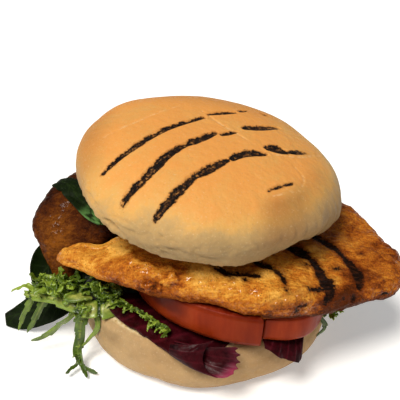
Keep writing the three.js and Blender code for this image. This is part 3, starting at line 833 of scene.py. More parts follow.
FRONT = Sizes(
    outline=[
        (-61, -19.5), (-57, -24), (-50, -28.5), (-38, -37), (-20, -45), (3, -52), (22, -54.5), (40, -50.5),
        (60, -42), (74, -34.5), (80.5, -26), (82, -17), (79.5, -8), (74.5, 2), (70, 11), (62, 20),
        (36, 20), (12, 10), (-12, -2), (-27, -11.5), (-33.5, -13.5), (-39, -19), (-46, -21),
        (-55, -19.6), (-60, -18),
    ],
    middle=(10, -20), level=front_level, thickness=front_thickness, rounding=7, seed=0.4,
)
BACK = Sizes(
    outline=[
        (-61, -20), (-52, -18), (-40, -15.5), (-20, -8), (4, 6), (30, 19), (44, 31), (37, 44),
        (16, 54), (-10, 56), (-36, 49), (-50, 38), (-58.5, 27), (-65.5, 18.5), (-71, 10.5),
        (-73.5, 2.5), (-72, -6), (-66, -15),
    ],
    middle=(-26, 22), level=back_level, thickness=back_thickness, rounding=6, seed=2.1,
)


def fillet_form(s, spokes, edge_rings, face_rings, beside=None):
    """The same slab as in the CAD, with many more points."""
    edge = evenly(s.outline, spokes, closed=True)
    middle = np.array(s.middle, float)
    if beside is not None:
        edge = clipped(edge, middle, s.level, beside, 0.5)
    reach = np.linalg.norm(edge - middle, axis=1)

    def height(x, y, sign, swell):
        bump = 1.2 * lumps(x, y, 0, 34, s.seed) + 0.6 * lumps(x, y, 0, 15, s.seed + 1)
        return s.level(x, y) + swell * (sign * s.thickness(x, y) * 0.5 + bump)

    def ring(inset, share, sign, swell):
        kept = share * (1 - inset / reach)
        x, y = (middle + (edge - middle) * kept[:, None]).T
        return np.column_stack([x, y, height(x, y, sign, swell)])

    turns = np.linspace(0, np.pi / 2, edge_rings + 1)[1:]
    shares = np.linspace(1, 0, face_rings + 2)[1:-1]

    def face(sign):
        side = [ring(s.rounding * (1 - math.cos(t)), 1, sign, math.sin(t)) for t in turns]
        return side + [ring(s.rounding, share, sign, 1) for share in shares]

    rings = face(-1)[::-1] + [ring(0, 1, 1, 0)] + face(1)
    x, y = middle
    ends = [[x, y, height(x, y, -1, 1)], [x, y, height(x, y, 1, 1)]]
    quads, tris = ring_faces(len(rings), spokes)
    return Form(np.concatenate([*rings, ends]), quads, tris)


def meaty(form, grain_turn, seed, amount=1.0):
    """Pushes the surface about like muscle: long bundles of fibre, pits and a ragged edge."""
    c, s = math.cos(grain_turn), math.sin(grain_turn)
    x, y, z = form.points.T
    along = np.column_stack([c * x + s * y, -s * x + c * y, z])
    bundles = -0.75 * np.abs(rough(along, (26, 6, 7), seed))
    fibres = -0.32 * np.abs(rough(along, (9, 1.8, 2.2), seed + 1, 2))
    pits = -0.7 * smooth(form.rough(3.2, seed + 2) * 2.2 - 0.7)
    broad = 0.8 * form.rough(13, seed + 3, 2)
    grains = 0.3 * form.rough(2.4, seed + 4, 2)
    form.push(amount * (bundles + fibres + pits + broad + grains))


# The seared lines on the front fillet, as (points in space, half width).
FILLET_BARS = [
    ([(17, -33, 53.5), (21.4, -36.7, 52.9), (25.4, -39.4, 52.4), (28.5, -42.4, 51.5),
      (30, -46.2, 50.8)], 1.6),
    ([(29, -18, 51.5), (33.8, -21.5, 50.6), (37.8, -25.2, 49.9), (41.7, -28.9, 49.4),
      (44.2, -33.4, 48.5)], 2.3),
    ([(43, -31, 48.9), (45.4, -37.7, 47.5), (46.5, -42.3, 46.8), (47.4, -45.4, 45), (45.2, -47.9, 43)], 2.8),
    ([(38.9, -46.5, 48.2), (43.3, -44.6, 47.1), (46, -44, 46)], 1.3),
    ([(41, -9, 50), (46.4, -12.6, 48.8), (50.5, -16.1, 47.9), (54.2, -21.1, 47.1), (57, -26, 46)], 1.9),
    ([(55, -23, 46.6), (58.5, -27.9, 45.5), (59.9, -32.7, 44.9), (59.2, -39.4, 43.9)], 2.5),
    ([(57.2, -42, 42), (56.9, -43.3, 40.3)], 1.3),
    ([(3.4, -42.6, 54.4), (5.9, -42.9, 53.9), (8.7, -44.2, 53.6), (10.8, -45.2, 53.6)], 2.2),
    ([(11.4, -43.6, 53.2), (13.4, -43, 52.8)], 1.6),
    ([(14.6, -42.8, 52.6), (17.4, -43, 52.4), (19.8, -43.9, 52.8)], 1.7),
    ([(9, -46.6, 54), (10.2, -47, 53.9)], 1.0),
    ([(14.2, -46.6, 53.2), (15.2, -46.8, 53)], 0.9),
    ([(33.2, -52.3, 44.8), (36.5, -51, 44.9)], 0.9),
    ([(33.2, -52.5, 43.2), (35.2, -52, 43.2)], 0.9),
    ([(49.7, -31.5, 47.1), (54.6, -30.7, 46)], 0.7),
    ([(37.2, -33.8, 50.3), (40.8, -33.4, 49.5)], 0.9),
    ([(52.7, -44.9, 42.1), (53.4, -44.3, 42.3)], 1.2),
    ([(30, -49, 50.4), (30.6, -49.4, 50)], 1.1),
    ([(62.4, -19.6, 46.6), (64.2, -20, 46.3)], 0.8),
    ([(69.5, -37, 37.8), (71.5, -36.1, 38.1)], 1.2),
]
# A crumbly ridge beside the crown, its contact line (browner, with painted shade), a knobbly browner patch,
# and a rim strip painted lighter against the crown's shadow.
RIDGE = [(-37.9, -23.9, 51.4), (-34.7, -23.2, 52), (-30, -29.5, 53), (-26.3, -36.1, 53.9), (-21, -39.2, 53.7)]
CONTACT = [(-31.3, -24.9, 52.4), (-27.1, -32.1, 53.5), (-23.4, -35.9, 53.8), (-17, -38.5, 53.8),
           (-8, -41, 54)]
KNOBS = [(-22, -44.2, 47.7), (-19, -44.8, 49.8), (-15.7, -45.2, 51.5), (-13.2, -45.1, 53)]
PAINTED_LIGHT_UNDER_RIM = [(-22, -34, 53), (-12, -40, 54), (0, -43, 55.3), (12, -44.5, 55), (24, -41, 53)]
# Browner spots, and paler spots painted as light on the hump, on the front fillet, as (place in x and y,
# radius, amount).
BROWN_AND_PAINTED_LIGHT_SPOTS = [((-35, -23), 5, -0.35), ((-32, -27), 4, -0.2), ((-34, -40), 9, 0.3)]
# Where a flap of the front fillet folds over the tomato.
FLAP = [(20.7, -54.3, 45.2), (22.8, -53.9, 47.3), (25.8, -53.1, 48.5), (29.6, -51.4, 49), (36.7, -47.5, 48.7)]
FLAP_STEP = 1.1


def front_fillet():
    """The golden fillet: muscle, a folded flap, seared bars, a ridge, knobs, and where it is browner, with
    painted shade low down, to the right and along the crown, and painted light under the crown's rim and on
    the hump.
    """
    form = fillet_form(FRONT, 620, 16, 44)
    x, y, z = form.points.T
    lobe = rise(x, 20.3, 1.4) * (1 - rise(x, 32, 14)) * fall(y, -42, 6)
    form.points[:, 2] -= 0.6 * lobe * fall(z, front_level(x, y) + 3, 4)
    meaty(form, 0.28, 40, 1.2)
    fit_between(form, front_level, tomato_trees, [crown_tree])
    x, y, z = form.points.T
    line = np.array(FLAP)
    below = np.interp(x, line[:, 0], line[:, 2]) - z
    reach = rise(x, 20.3, 1.0) * (1 - rise(x, 36, 8)) * fall(y, -42, 5)
    sear = bars(form.points, FILLET_BARS)
    flap = FLAP_STEP * smooth(below / 0.8 + 0.5) * (1 - rise(below, 6, 5)) * reach
    near_ridge = form.near(RIDGE, 2)
    near_knobs = form.near(KNOBS, 4)
    knobs = smooth(form.rough(3.2, 61) * 2.4 + 0.4)
    form.push(flap - 0.7 * form.near(FLAP, 0.7) - 0.45 * rise(sear, -0.6, 1.2))
    near_middle = smooth(1 - np.abs(z - front_level(x, y)) / 4)
    crisp = rise(x, 52, 14) * near_middle * form.rough(2.2, 66)
    crumbly = smooth(form.rough(2.4, 67) * 2.4 + 0.4)
    near_contact = form.near(CONTACT, 2.0)
    form.push(near_ridge * (0.7 + 0.9 * knobs) + 2.0 * near_knobs * (knobs - 0.4) + 1.3 * crisp)
    form.push(0.9 * near_contact * (crumbly - 0.8))
    x, y, z = form.points.T
    depth = front_level(x, y) - z
    low = rise(depth, -1, 6)
    # Browner meat, and painted shade, on the low side and towards the right.
    brown_and_painted_light = 0.25 + 0.22 * low + 0.3 * rise(x, 38, 30) + 0.35 * low * rise(x, 10, 25)
    brown_and_painted_light = brown_and_painted_light - 0.1 * fall(x, -5, 40) * (1 - low)
    # Painted light: paler in a strip under the crown's rim, against its shadow; browner meat and painted
    # shade along the contact line.
    painted_light_strip = form.near(PAINTED_LIGHT_UNDER_RIM, 4)
    brown_and_painted_light = brown_and_painted_light + 0.5 * near_contact * (1 - 0.5 * crumbly) - 0.6 * painted_light_strip * rise(x, -12, 10)
    brown_and_painted_light = brown_and_painted_light - 0.3 * near_ridge * fall(x, -22, 1)
    # Browner spots, and paler spots painted as light on the hump.
    for at, radius, amount in BROWN_AND_PAINTED_LIGHT_SPOTS:
        brown_and_painted_light = brown_and_painted_light + hump(x, y, at, radius, amount)
    # Painted light: paler just below the crown's front rim.
    brown_and_painted_light = brown_and_painted_light - 0.25 * hump(x, y, (-1, -46), 7, 1) * rise(z, 51.5, 2)
    # Browner meat, and painted shade, under the flap and along the low side.
    underneath = fall(z, 46.5, 2.5) * rise(x, 17, 5) * fall(x, 68, 14)
    brown_and_painted_light = brown_and_painted_light + underneath * (0.1 + 0.65 * rise(x, 39, 8))
    brown_and_painted_light = brown_and_painted_light + 0.5 * hump(x, y, (27, -54), 7, 1) * rise(z, 43.5, 2) * fall(z, 49, 2)
    brown_and_painted_light = brown_and_painted_light + 0.3 * rise(depth, 2, 3) * rise(x, 8, 15)
    brown_and_painted_light = brown_and_painted_light + 0.3 * rise(depth, -2, 4) * rise(x, -42, 8) * fall(x, 18, 12)
    brown_and_painted_light = brown_and_painted_light + near_knobs * (0.75 - 0.6 * knobs) + 0.2 * hump(x, y, (18, -42), 8, 1) * (1 - low)
    form.values["brown_and_painted_light"] = brown_and_painted_light
    form.values["pale"] = 0.7 * form.near([(24.5, -53.2, 47), (30, -51.8, 47.8), (35.5, -48.8, 47.8)], 1.7)
    form.values["sear"] = sear
    return form


def back_fillet(front_tree):
    """The darker fillet, stopped by the front one."""
    form = fillet_form(BACK, 520, 14, 40, front_tree)
    meaty(form, -0.5, 70, 1.15)
    fit_between(form, back_level, [*tomato_trees, front_tree], [crown_tree, front_tree])
    x, y = form.points[:, 0], form.points[:, 1]
    hollows = 0.5 * form.rough(12, 74, 2)
    paler = 0.45 * hump(x, y, (-61, 0), 10, 1) + 0.4 * hump(x, y, (-66, -13), 10, 1)
    form.values["brown_and_painted_light"] = 0.55 + hollows - paler
    form.values["pale"] = np.zeros(len(x))
    form.values["sear"] = bars(form.points, [([(-66, 18, 56), (-60, 8, 58), (-52, 0, 58)], 1.2)]) - 0.6
    return form


front = front_fillet()
front_tree = front.tree()
back = back_fillet(front_tree)
back_tree = back.tree()
front_look = chicken_material("chicken_golden", "f4b552", "e09a38", "c0701f", "8d440f", "4f2205", 0.8, 0.7)
# The back fillet's colours are darker for browner meat and as painted shade under the crown.
back_look = chicken_material("chicken_browned_and_shaded", "844a10", "6a380a", "502405", "341302", "1a0702", 0.5, 0.15)
piece("chicken_fillet_front", front, front_look, "chicken_front")
piece("chicken_fillet_back", back, back_look, "chicken_back")


# Leaves

def sheet_form(middle, thickness, values):
    """A thin closed sheet round a grid of middle points; its thickness may vary over the grid."""
    rows, columns, _ = middle.shape
    along = np.empty_like(middle)
    along[1:-1] = middle[2:] - middle[:-2]
    along[0], along[-1] = middle[1] - middle[0], middle[-1] - middle[-2]
    across = np.empty_like(middle)
    across[:, 1:-1] = middle[:, 2:] - middle[:, :-2]
    across[:, 0], across[:, -1] = middle[:, 1] - middle[:, 0], middle[:, -1] - middle[:, -2]
    half = unit(np.cross(along, across)) * (np.broadcast_to(thickness, (rows, columns))[..., None] / 2)
    points = np.concatenate([(middle + half).reshape(-1, 3), (middle - half).reshape(-1, 3)])
    grid = np.arange(rows * columns).reshape(rows, columns)
    a, b = grid[:-1, :-1].ravel(), grid[1:, :-1].ravel()
    c, d = grid[1:, 1:].ravel(), grid[:-1, 1:].ravel()
    under = rows * columns
    quads = [np.stack([a, b, c, d], 1), np.stack([a, d, c, b], 1) + under]
    border = np.concatenate([grid[:, 0], grid[-1, 1:], grid[-2::-1, -1], grid[0, -2:0:-1]])
    after = np.roll(border, -1)
    quads.append(np.stack([border, border + under, after + under, after], 1))
    form = Form(points, np.concatenate(quads))
    for key, value in values.items():
        flat = np.broadcast_to(value, (rows, columns)).ravel()
        form.values[key] = np.concatenate([flat, flat])
    return form


def keep_grid_clear(middle, trees, gap):
    shape = middle.shape
    form = Form(middle.reshape(-1, 3).copy(), np.zeros((0, 4), int))
    form.keep_clear(trees, gap)
    return form.points.reshape(shape)


def grid(rows, columns):
    return np.meshgrid(np.linspace(0, 1, rows), np.linspace(0, 1, columns), indexing="ij")


def on(line, u):
    return line(u.ravel()).reshape(*u.shape, 3)


def spread(u, v, along, across, seed=0.0):
    """Points for noise over a leaf's grid, so that its lumps follow the leaf."""
    return np.column_stack([u.ravel() * along, v.ravel() * across, np.full(u.size, float(seed))])


def branching(u, v, ribs, lean, width):
    """Paler lines that branch off the edge v=0.5 to both sides."""
    s = np.abs(2 * v - 1)
    side = stripes(ribs * (u - lean * s), width) * smooth(s * 8) * (1 - 0.6 * s)
    return np.maximum(side, bell(s / 0.07))


def chicory_form(s, rows=150, columns=60):
    """A red chicory leaf between a hidden edge and a shown edge."""
    u, v = grid(rows, columns)
    inner, outer = on(curve(s.hidden), u), on(curve(s.shown), u)
    fine = spread(u, v, s.span, 5, s.seed)
    notch = s.teeth * smooth(noise(fine * 1.3, 1.0, 3).reshape(u.shape) * 1.5 + 0.5) * v**5
    share = (v * (1 - notch))[..., None]
    middle = inner * (1 - share) + outer * share
    middle += np.array(s.bow) * (4 * v * (1 - v))[..., None]
    wave = s.ruffle * np.sin(2 * np.pi * s.waves * u + 1.5 * v) * v * v
    crinkle = 0.35 * rough(fine, (1.2, 1.0, 1), 11).reshape(u.shape)
    middle[..., 1] -= 0.4 * wave
    middle[..., 2] += 0.6 * wave + crinkle
    middle = keep_grid_clear(middle, s.trees, 0.55)
    vein = stripes(s.veins * (u + 0.25 * v), 0.09) * (1 - 0.55 * v)
    return sheet_form(middle, 0.6, {"vein": vein, "rim": np.zeros_like(u)})


LONG_CHICORY = Sizes(
    hidden=[(-30, -18, 27), (-20, -24, 25.4), (-6, -30, 25.1), (6, -36, 25.1), (15, -42, 25.1)],
    shown=[
        (-40, -31, 26.6), (-32.5, -39, 25.6), (-26.5, -44, 25), (-19, -50.5, 23.4), (-9, -56.5, 20.5),
        (2, -57, 20.5),
    ],
    bow=(-0.3, -0.6, 1.1), ruffle=0.9, waves=3, teeth=0.03, span=9, veins=5, seed=1,
    trees=[heel_tree, *tomato_trees],
)
RIGHT_CHICORY = Sizes(
    hidden=[(20, -44, 25.6), (29, -41.5, 25.2), (38, -36, 24.9)],
    shown=[(22.5, -54, 26), (27.5, -55.5, 23), (32.5, -54, 19.5), (37, -51.5, 17), (38, -46.5, 22.5)],
    bow=(0.6, -1.4, 1.8), ruffle=0.5, waves=1.5, teeth=0.03, span=6, veins=6, seed=2,
    trees=[heel_tree, *tomato_trees],
)
SCOOP = Sizes(
    narrow=[(-13, -51.5, 24), (0.9, 2.6, -0.4), (0, 0.3, 2.7)],
    mouth=[(6.2, -57.8, 24.2), (7.3, 0, 0), (0, 3.9, 6.3)],
    turns=(2.0, 6.9), teeth=11, depth=0.07,
)


def scoop_form(s, rows=170, columns=60):
    """The chicory leaf that rolls into a scoop with a toothed mouth."""
    u, v = grid(rows, columns)
    turn = s.turns[0] + (s.turns[1] - s.turns[0]) * u

    def ring(place):
        at, across, up = (np.array(p) for p in place)
        return at + across * np.cos(turn)[..., None] + up * np.sin(turn)[..., None]

    saw = np.abs(2 * ((s.teeth * u * 1.2) % 1) - 1)
    notch = s.depth * (1 - saw**2) * smooth(3.5 * u - 2.0) * v**4
    share = (v * (1 - notch))[..., None]
    middle = ring(s.narrow) * (1 - share) + ring(s.mouth) * share
    middle[..., 1] -= 1.6 * np.sin(np.pi * v)
    fine = spread(u, v, 9, 5)
    middle += (0.35 * rough(fine, (1.3, 1.2, 1), 19).reshape(u.shape))[..., None] * np.array([0.3, -0.6, 0.5])
    middle = keep_grid_clear(middle, [heel_tree, *tomato_trees], 0.6)
    vein = 0.5 * stripes(7 * u, 0.08) * (1 - 0.5 * v)
    # Painted highlight: pink along part of the mouth's lip.
    lip = rise(v, 0.75, 0.25) * rise(u, 0.42, 0.15) * (1 - 0.85 * rise(u, 0.7, 0.15))
    return sheet_form(middle, 0.6, {"vein": vein, "rim": 0.55 * lip})


def oval_form(s, rows=90, columns=50):
    """An oval leaf along a curved midrib, folded along it and drooping to both sides."""
    u, v = grid(rows, columns)
    side = unit(np.array(s.across, float))
    t = 2 * v - 1
    width = s.half_width * (0.12 + 0.88 * np.sin(np.pi * (0.06 + 0.9 * u)) ** 0.75)
    middle = on(curve(s.rib), u) + side * (t * width)[..., None]
    middle[..., 2] += s.fold * np.abs(t) - s.sag * t * t + 0.5 * np.sin(9 * u + 3 * t)
    fine = spread(u, v, 6, 3, s.half_width)
    middle[..., 2] += 0.5 * rough(fine, (1.0, 0.8, 1), 23).reshape(u.shape) * np.abs(t)
    middle = keep_grid_clear(middle, s.trees, 0.6)
    middle[..., 2] = np.maximum(middle[..., 2], 0.8)
    vein = branching(u, v, 7, 0.18, 0.06)
    tip = s.light_tip * rise(u, 0.62, 0.2) * smooth(0.6 + rough(fine * 2, 1.0, 51).reshape(u.shape))
    return sheet_form(middle, 0.55, {"vein": vein, "rim": tip})


LOW_LEAF = Sizes(
    rib=[(-51, -6, 20), (-61, -8, 15), (-71, -8.5, 10), (-80, -8.5, 6), (-89, -8.5, 2.8)],
    across=(0.25, -1, -0.55), half_width=8.5, fold=0.6, sag=1.2, light_tip=0,
    trees=[heel_tree],
)
SIDE_LEAF = Sizes(
    rib=[(-50, 6, 34), (-59, 1, 33.5), (-66, -5, 31.5), (-70, -12, 28), (-70.5, -18.5, 24.5)],
    across=(0.7, -0.35, -0.6), half_width=7.5, fold=0.5, sag=-1, light_tip=0,
    trees=[back_tree, *tomato_trees],
)
TOP_LEAF = Sizes(
    rib=[(-65, 17, 57), (-58.5, 10, 58.5), (-52.5, 1, 59.5), (-47, -9, 60), (-41, -20, 60)],
    across=(1, 0.55, 0.25), half_width=5, fold=1.2, sag=0.4, light_tip=0.8,
    trees=[back_tree, crown_tree, front_tree],
)

# The chicory's rim colour is the painted pink highlight on the scoop's lip.
chicory_look = leaf_material("red_chicory", "160204", "3e0810", "8a2638", "b03c5e", 0.28, 0.22)
dark_leaf_look = leaf_material("dark_leaf", "081001", "112003", "24360a", "5d8848", 0.5, 0.4)
piece("chicory_leaf_scoop", scoop_form(SCOOP), chicory_look, "chicory_scoop")
piece("chicory_leaf_long", chicory_form(LONG_CHICORY), chicory_look, "chicory_long")
piece("chicory_leaf_right", chicory_form(RIGHT_CHICORY), chicory_look, "chicory_right")
piece("dark_leaf_low", oval_form(LOW_LEAF), dark_leaf_look, "leaf_low")
piece("dark_leaf_side", oval_form(SIDE_LEAF), dark_leaf_look, "leaf_side")
piece("dark_leaf_top", oval_form(TOP_LEAF), dark_leaf_look, "leaf_top")


# Curly endive

def frond(
    line, width, seed, lobes=6, ruffle=0.5, rib=0.0, twist=0.0, rows=46, columns=7, tip=0.25, up=(0, 0, 1),
    cut=0.7, stem=0.3, shade=None, faded=0.0,
):
    """A strip of endive along a line: a rib down its middle and a cut, curling edge to both sides."""
    u, v = grid(rows, columns)
    t = 2 * v - 1
    spine = curve(line)
    centre = on(spine, u)
    tangent = unit(on(spine, np.minimum(u + 0.01, 1.0)) - on(spine, np.maximum(u - 0.01, 0.0)))
    side = unit(np.cross(tangent, np.broadcast_to(np.array(up, float), tangent.shape)))
    face = np.cross(side, tangent)
    angle = (twist * u)[..., None]
    side, face = side * np.cos(angle) + face * np.sin(angle), face * np.cos(angle) - side * np.sin(angle)
    phase = np.where(t < 0, 0.37 * seed, 0.81 * seed + 0.5)
    saw = ((lobes * u + phase) % 1.0) ** 0.8
    kept = 1 - cut + cut * saw
    body = (1 - (1 - tip) * u**1.6) * smooth((1.02 - u) * 9 + 0.1)
    reach = width / 2 * body * np.where(np.abs(t) > 0.35, kept, 1.0)
    middle = centre + side * (t * reach)[..., None]
    curl = ruffle * np.abs(t) ** 1.5 * np.sin(2 * np.pi * (lobes * u + phase) * 0.5 + seed)
    middle += face * (curl * width * 0.35 * body)[..., None]
    rib_share = bell(t / (stem * (1 - 0.5 * u))) * rib * (1 - 0.55 * u)
    thickness = 0.45 + rib_share * min(2.2, 0.28 * width)
    pale = np.clip(rib_share + 0.35 * (1 - u) * rib, 0, 1) * (1 - faded * fall(u, 0.45, 0.15))
    tone = (seed * 0.37) % 1.0 if shade is None else shade
    return sheet_form(middle, thickness, {"vein": pale, "shade": np.full_like(u, tone)})


def lobed(line, count, length, seed, width=3.6, spread=1.0, start=0.0):
    """Short curly leaflets standing out from a line to alternate sides."""
    rng = np.random.default_rng(seed)
    spine = curve(line)
    made = []
    for i in range(count):
        u = start + (1 - start) * (i + 0.5) / count
        root = spine(u)[0]
        tangent = unit(spine(min(u + 0.02, 1))[0] - spine(max(u - 0.02, 0))[0])
        flat = unit(np.array([tangent[1], -tangent[0], 0.0]))
        lift = np.array([0, 0, 1.0])
        sign = 1 if i % 2 else -1
        lean = sign * spread * rng.uniform(0.25, 1.0)
        out = unit(flat * rng.uniform(0.5, 1.0) + lift * lean + tangent * rng.uniform(-0.5, 0.6))
        bend = rng.normal(0, 0.45, 3)
        reach = length * rng.uniform(0.7, 1.25)
        line_out = [root + out * s * reach + bend * s * s * reach for s in (-0.2, 0.3, 0.7, 1.0)]
        made.append(
            frond(
                line_out, width * rng.uniform(0.75, 1.3), seed + i * 1.7, lobes=int(rng.integers(3, 6)),
                ruffle=rng.uniform(0.5, 1.1), rib=0.25, twist=rng.normal(0, 1.0), rows=18, columns=7, tip=0.6,
            )
        )
    return made


RIB = [(-35, -28, 27.4), (-40, -30.5, 26.6), (-49, -30.5, 26.4), (-62, -24, 26.2), (-76, -20, 25.5)]
HANGING = [
    (-47, -28, 26.5), (-50.5, -31, 21.5), (-51.7, -33, 14.4), (-52.8, -35.2, 8), (-51.5, -38.2, 4),
    (-48.3, -40.6, 2.2), (-44.3, -42, 1.7),
]
SIDE_ON = dict(up=(0, 1, 0.2))
# The long fronds, as (line, width, seed, lobes, ruffle, rib, other values of frond).
FRONDS = [
    (RIB, 10.5, 1, 5, 0.15, 1.0,
     dict(rows=90, columns=15, tip=0.35, up=(0, -0.6, 0.8), cut=0.3, stem=0.75, shade=0.7, faded=0.45)),
    (HANGING, 5.6, 2, 4, 0.35, 0.35, dict(rows=80, columns=9, tip=0.4, cut=0.35, shade=0.2, **SIDE_ON)),
    ([(-50.8, -39, 3.4), (-49.4, -42, 2.2), (-48.3, -44.4, 1.6)], 2.6, 3, 2, 0.4, 0,
     dict(rows=20, cut=0.3)),
    ([(-52, -28, 24), (-57.2, -29.6, 20), (-61, -28.6, 15.5), (-66, -27.6, 10.5), (-73.5, -28, 7)],
     3.4, 4, 3, 0.5, 0.4, dict(tip=0.9, up=(0, 1, 0.4), cut=0.45)),
    ([(-70, -19, 26), (-74.5, -20, 20), (-78, -20.5, 13), (-80, -22, 7.5)],
     3.8, 5, 3, 0.5, 0.3, dict(cut=0.5, shade=0.45, **SIDE_ON)),
    ([(-66, -21, 26), (-70, -23, 19), (-73, -23.5, 13), (-76, -24, 8)], 4.2, 6, 3, 0.5, 0.4,
     dict(cut=0.4, **SIDE_ON)),
    ([(-46, -29, 26), (-44, -32.5, 19), (-47.5, -33, 13), (-51, -35, 10)], 3.0, 7, 3, 0.4, 0.4,
     dict(cut=0.3, **SIDE_ON)),
    ([(-70, -20, 26.5), (-75, -18, 28), (-79, -17.5, 27), (-82, -17, 24.5)], 3.6, 8, 3, 0.8, 0.2, {}),
    ([(-60, -22, 27), (-66, -18, 30), (-72, -17, 30.5)], 3.4, 9, 3, 0.8, 0.2, {}),
    ([(-36, -27, 30), (-30, -33.5, 29.6), (-24, -39, 28.8), (-16, -45, 27.6)], 1.6, 10, 8, 0.7, 0.1, {}),
    ([(38, -32, 28), (44, -36, 28), (48, -37.5, 23), (45, -38, 18)], 4, 11, 4, 0.6, 0.3, SIDE_ON),
    ([(-47, -27, 30), (-52, -29, 31), (-57, -27.5, 30)], 6, 12, 2, 0.3, 0.9,
     dict(tip=0.9, cut=0.2, stem=0.8)),
]
# Rows of leaflets, as (line, count, length, seed, and where needed width, spread and start).
LEAFLETS = [
    (RIB, 12, 5, 21, 3.2, 1.0, 0.6),
    ([(-68, -16, 31), (-58, -18, 32), (-48, -19, 32.5), (-36, -25, 32)], 44, 7, 22, 5.4),
    ([(-70, -18, 30), (-58, -21, 32), (-47, -23, 32), (-35, -27, 31.5)], 34, 5.2, 23, 4.8),
    ([(-60, -13, 29.5), (-52, -16, 31), (-42, -19.5, 32.5)], 24, 6.2, 30, 5),
    ([(-40, -27, 30), (-28, -35, 29.8), (-19, -41.6, 28.4), (-14, -45.6, 27.2)], 30, 3.6, 24, 1.7, 0.9),
    ([(-50, -22, 30), (-44, -25, 31), (-37, -28, 31)], 20, 5, 31, 4.6),
    ([(-66, -17, 27), (-68.5, -15.5, 29.5), (-69.5, -14, 31.5)], 8, 3.4, 34, 1.8, 0.6),
    ([(-51, -29, 28), (-49, -31, 27.4), (-46.5, -31.5, 27.6)], 5, 3.6, 35, 3.2, 0.7),
    ([(43, -33, 29), (49, -36, 28.8), (53, -36, 29.6)], 6, 3, 32, 2.6),
    (HANGING[:-2], 7, 4.0, 25, 2.4, 0.4, 0.1),
    ([(46, -22, 29), (54, -12, 30), (55, 4, 31), (50, 20, 32)], 18, 6, 26, 3.4),
    ([(40, 34, 34), (18, 45, 35), (-8, 47.5, 36), (-32, 42, 36), (-50, 26, 34)], 44, 8, 27, 5.4),
    ([(50, 20, 29), (35, 38, 29), (8, 48.5, 29), (-20, 47, 29), (-44, 32, 29)], 44, 7.5, 28, 5.2),
    ([(-52, 24, 32), (-57, 10, 32), (-58, -4, 33)], 16, 7, 29, 3.6),
]


def endive_forms():
    """Every frond and leaflet, the stem first, with two gaps across the stem, pressed in and darkened as
    painted shade.
    """
    forms = [frond(line, *shape, **others) for line, *shape, others in FRONDS]
    stem = forms[0]
    along = stem.points[:, 0]
    # Painted shade: the stem darker and not pale at two gaps.
    gaps = bell((along + 43.2) / 0.9) + 0.8 * bell((along + 52.5) / 1.3)
    stem.values["shade"] -= 1.1 * gaps
    stem.values["vein"] *= 1 - np.minimum(gaps, 1)
    stem.push(-0.6 * gaps)
    for line, *how in LEAFLETS:
        forms += lobed(line, *how)
    return forms


BED_FLOOR = 24.7  # on the heel
BED_OUTLINE = [
    (-50, -26), (-30, -22), (-10, -17), (18, -17), (46, -12), (54, 2), (51, 22), (34, 42), (8, 53),
    (-20, 50), (-44, 34), (-55, 12), (-57, -12),
]


def endive_bed():
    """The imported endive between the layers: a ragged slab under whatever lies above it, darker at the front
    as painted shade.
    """
    spokes = 150
    edge = evenly(BED_OUTLINE, spokes, closed=True)
    edge *= (1 + 0.03 * np.sin(23 * np.linspace(0, 2 * np.pi, spokes, endpoint=False)))[:, None]
    ceilings = [*tomato_trees, front_tree, back_tree, crown_tree]

    def top_of(x, y):
        free = 38 - 0.13 * x + 1.5 * lumps(x, y, 0, 16, 0.9) - 9 * fall(x, -38, 20)
        out = np.array(free)
        for i in range(len(x)):
            for tree in ceilings:
                hit = tree.ray_cast(Vector((x[i], y[i], BED_FLOOR)), Vector((0, 0, 1)))[0]
                if hit is not None:
                    out[i] = min(out[i], hit.z - 0.6)
        return np.maximum(out, BED_FLOOR + 0.4)

    shares = np.linspace(1, 0, 34)[:-1]
    level = np.full(spokes, BED_FLOOR)
    rings = [np.column_stack([edge * share * 0.97, level]) for share in shares[::-1]]
    top_edge = top_of(*edge.T)
    for k in np.linspace(0, 1, 12)[1:-1]:
        swell = 0.97 + 0.04 * math.sin(math.pi * k)
        rings.append(np.column_stack([edge * swell, BED_FLOOR + (top_edge - BED_FLOOR) * k]))
    for share in shares:
        flat = edge * share * 0.97
        rings.append(np.column_stack([flat, top_of(*flat.T)]))
    quads, tris = ring_faces(len(rings), spokes)
    ends = [[0, 0, BED_FLOOR], [0, 0, top_of(np.zeros(1), np.zeros(1))[0]]]
    form = Form(np.concatenate([*rings, ends]), quads, tris)
    form.push(-1.5 * np.abs(form.rough(4.0, 33)) - 0.1)
    count = len(form.points)
    # Painted shade: the bed darker at the front, where it shows between the leaflets.
    backward = rise(form.points[:, 1], -5, 20)
    form.values = {"vein": np.zeros(count), "shade": 0.7 * backward - 0.6}
    return form


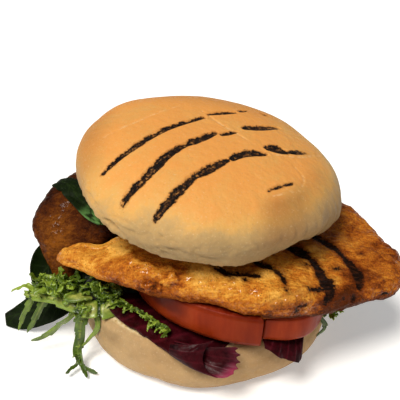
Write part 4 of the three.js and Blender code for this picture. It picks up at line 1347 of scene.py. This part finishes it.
fronds = join(endive_forms())
fronds.keep_clear([heel_tree, crown_tree, *tomato_trees, front_tree, back_tree], 0.3)
fronds.points[:, 2] = np.maximum(fronds.points[:, 2], 0.5)
piece("curly_endive", join([fronds, endive_bed()]), endive_material(), "endive")


# Floor, light and camera

CAMERA = Sizes(at=(-0.0022, -0.28287, 0.22946), looks_down=31, lens=70.92)
KEY_LIGHT = dict(come_from=(-0.34, -0.46, 1), strength=3.45, spread=24, colour=(1.0, 0.96, 0.89))
SKY_STRENGTH = 0.17
FLOOR_GLOW = 0.32


def stage_floor():
    mesh = bpy.data.meshes.new("floor")
    half = 3.0
    corners = [(-half, -half, 0), (half, -half, 0), (half, half, 0), (-half, half, 0)]
    mesh.from_pydata(corners, [], [(0, 1, 2, 3)])
    obj = bpy.data.objects.new("floor", mesh)
    obj.location.z = -0.0002
    g = Graph("floor_white")
    colour = g.ramp(g.noise(60, 2), (0.3, (0.86, 0.86, 0.86)), (0.7, (0.9, 0.9, 0.9)))
    white = g.finish(colour, 0.8, None, Emission_Strength=FLOOR_GLOW, Emission_Color=(1, 1, 1, 1))
    mesh.materials.append(white)
    bpy.context.collection.objects.link(obj)


def sun(name, come_from, strength, spread, colour):
    data = bpy.data.lights.new(name, "SUN")
    data.energy = strength
    data.angle = math.radians(spread)
    data.color = colour
    obj = bpy.data.objects.new(name, data)
    obj.rotation_euler = Vector(come_from).to_track_quat("Z", "Y").to_euler()
    bpy.context.collection.objects.link(obj)


def set_camera():
    data = bpy.data.cameras.new("camera")
    data.lens = CAMERA.lens
    data.sensor_width = 36
    data.clip_start = 0.01
    obj = bpy.data.objects.new("camera", data)
    obj.location = CAMERA.at
    obj.rotation_euler = (math.radians(90 - CAMERA.looks_down), 0, 0)
    bpy.context.collection.objects.link(obj)
    bpy.context.scene.camera = obj


stage_floor()
sun("soft_key_from_above", **KEY_LIGHT)
world = bpy.data.worlds.new("world")
world.use_nodes = True
world.node_tree.nodes["Background"].inputs[0].default_value = (1, 1, 1, 1)
world.node_tree.nodes["Background"].inputs[1].default_value = SKY_STRENGTH
bpy.context.scene.world = world
bpy.context.scene.view_settings.view_transform = "Standard"
set_camera()
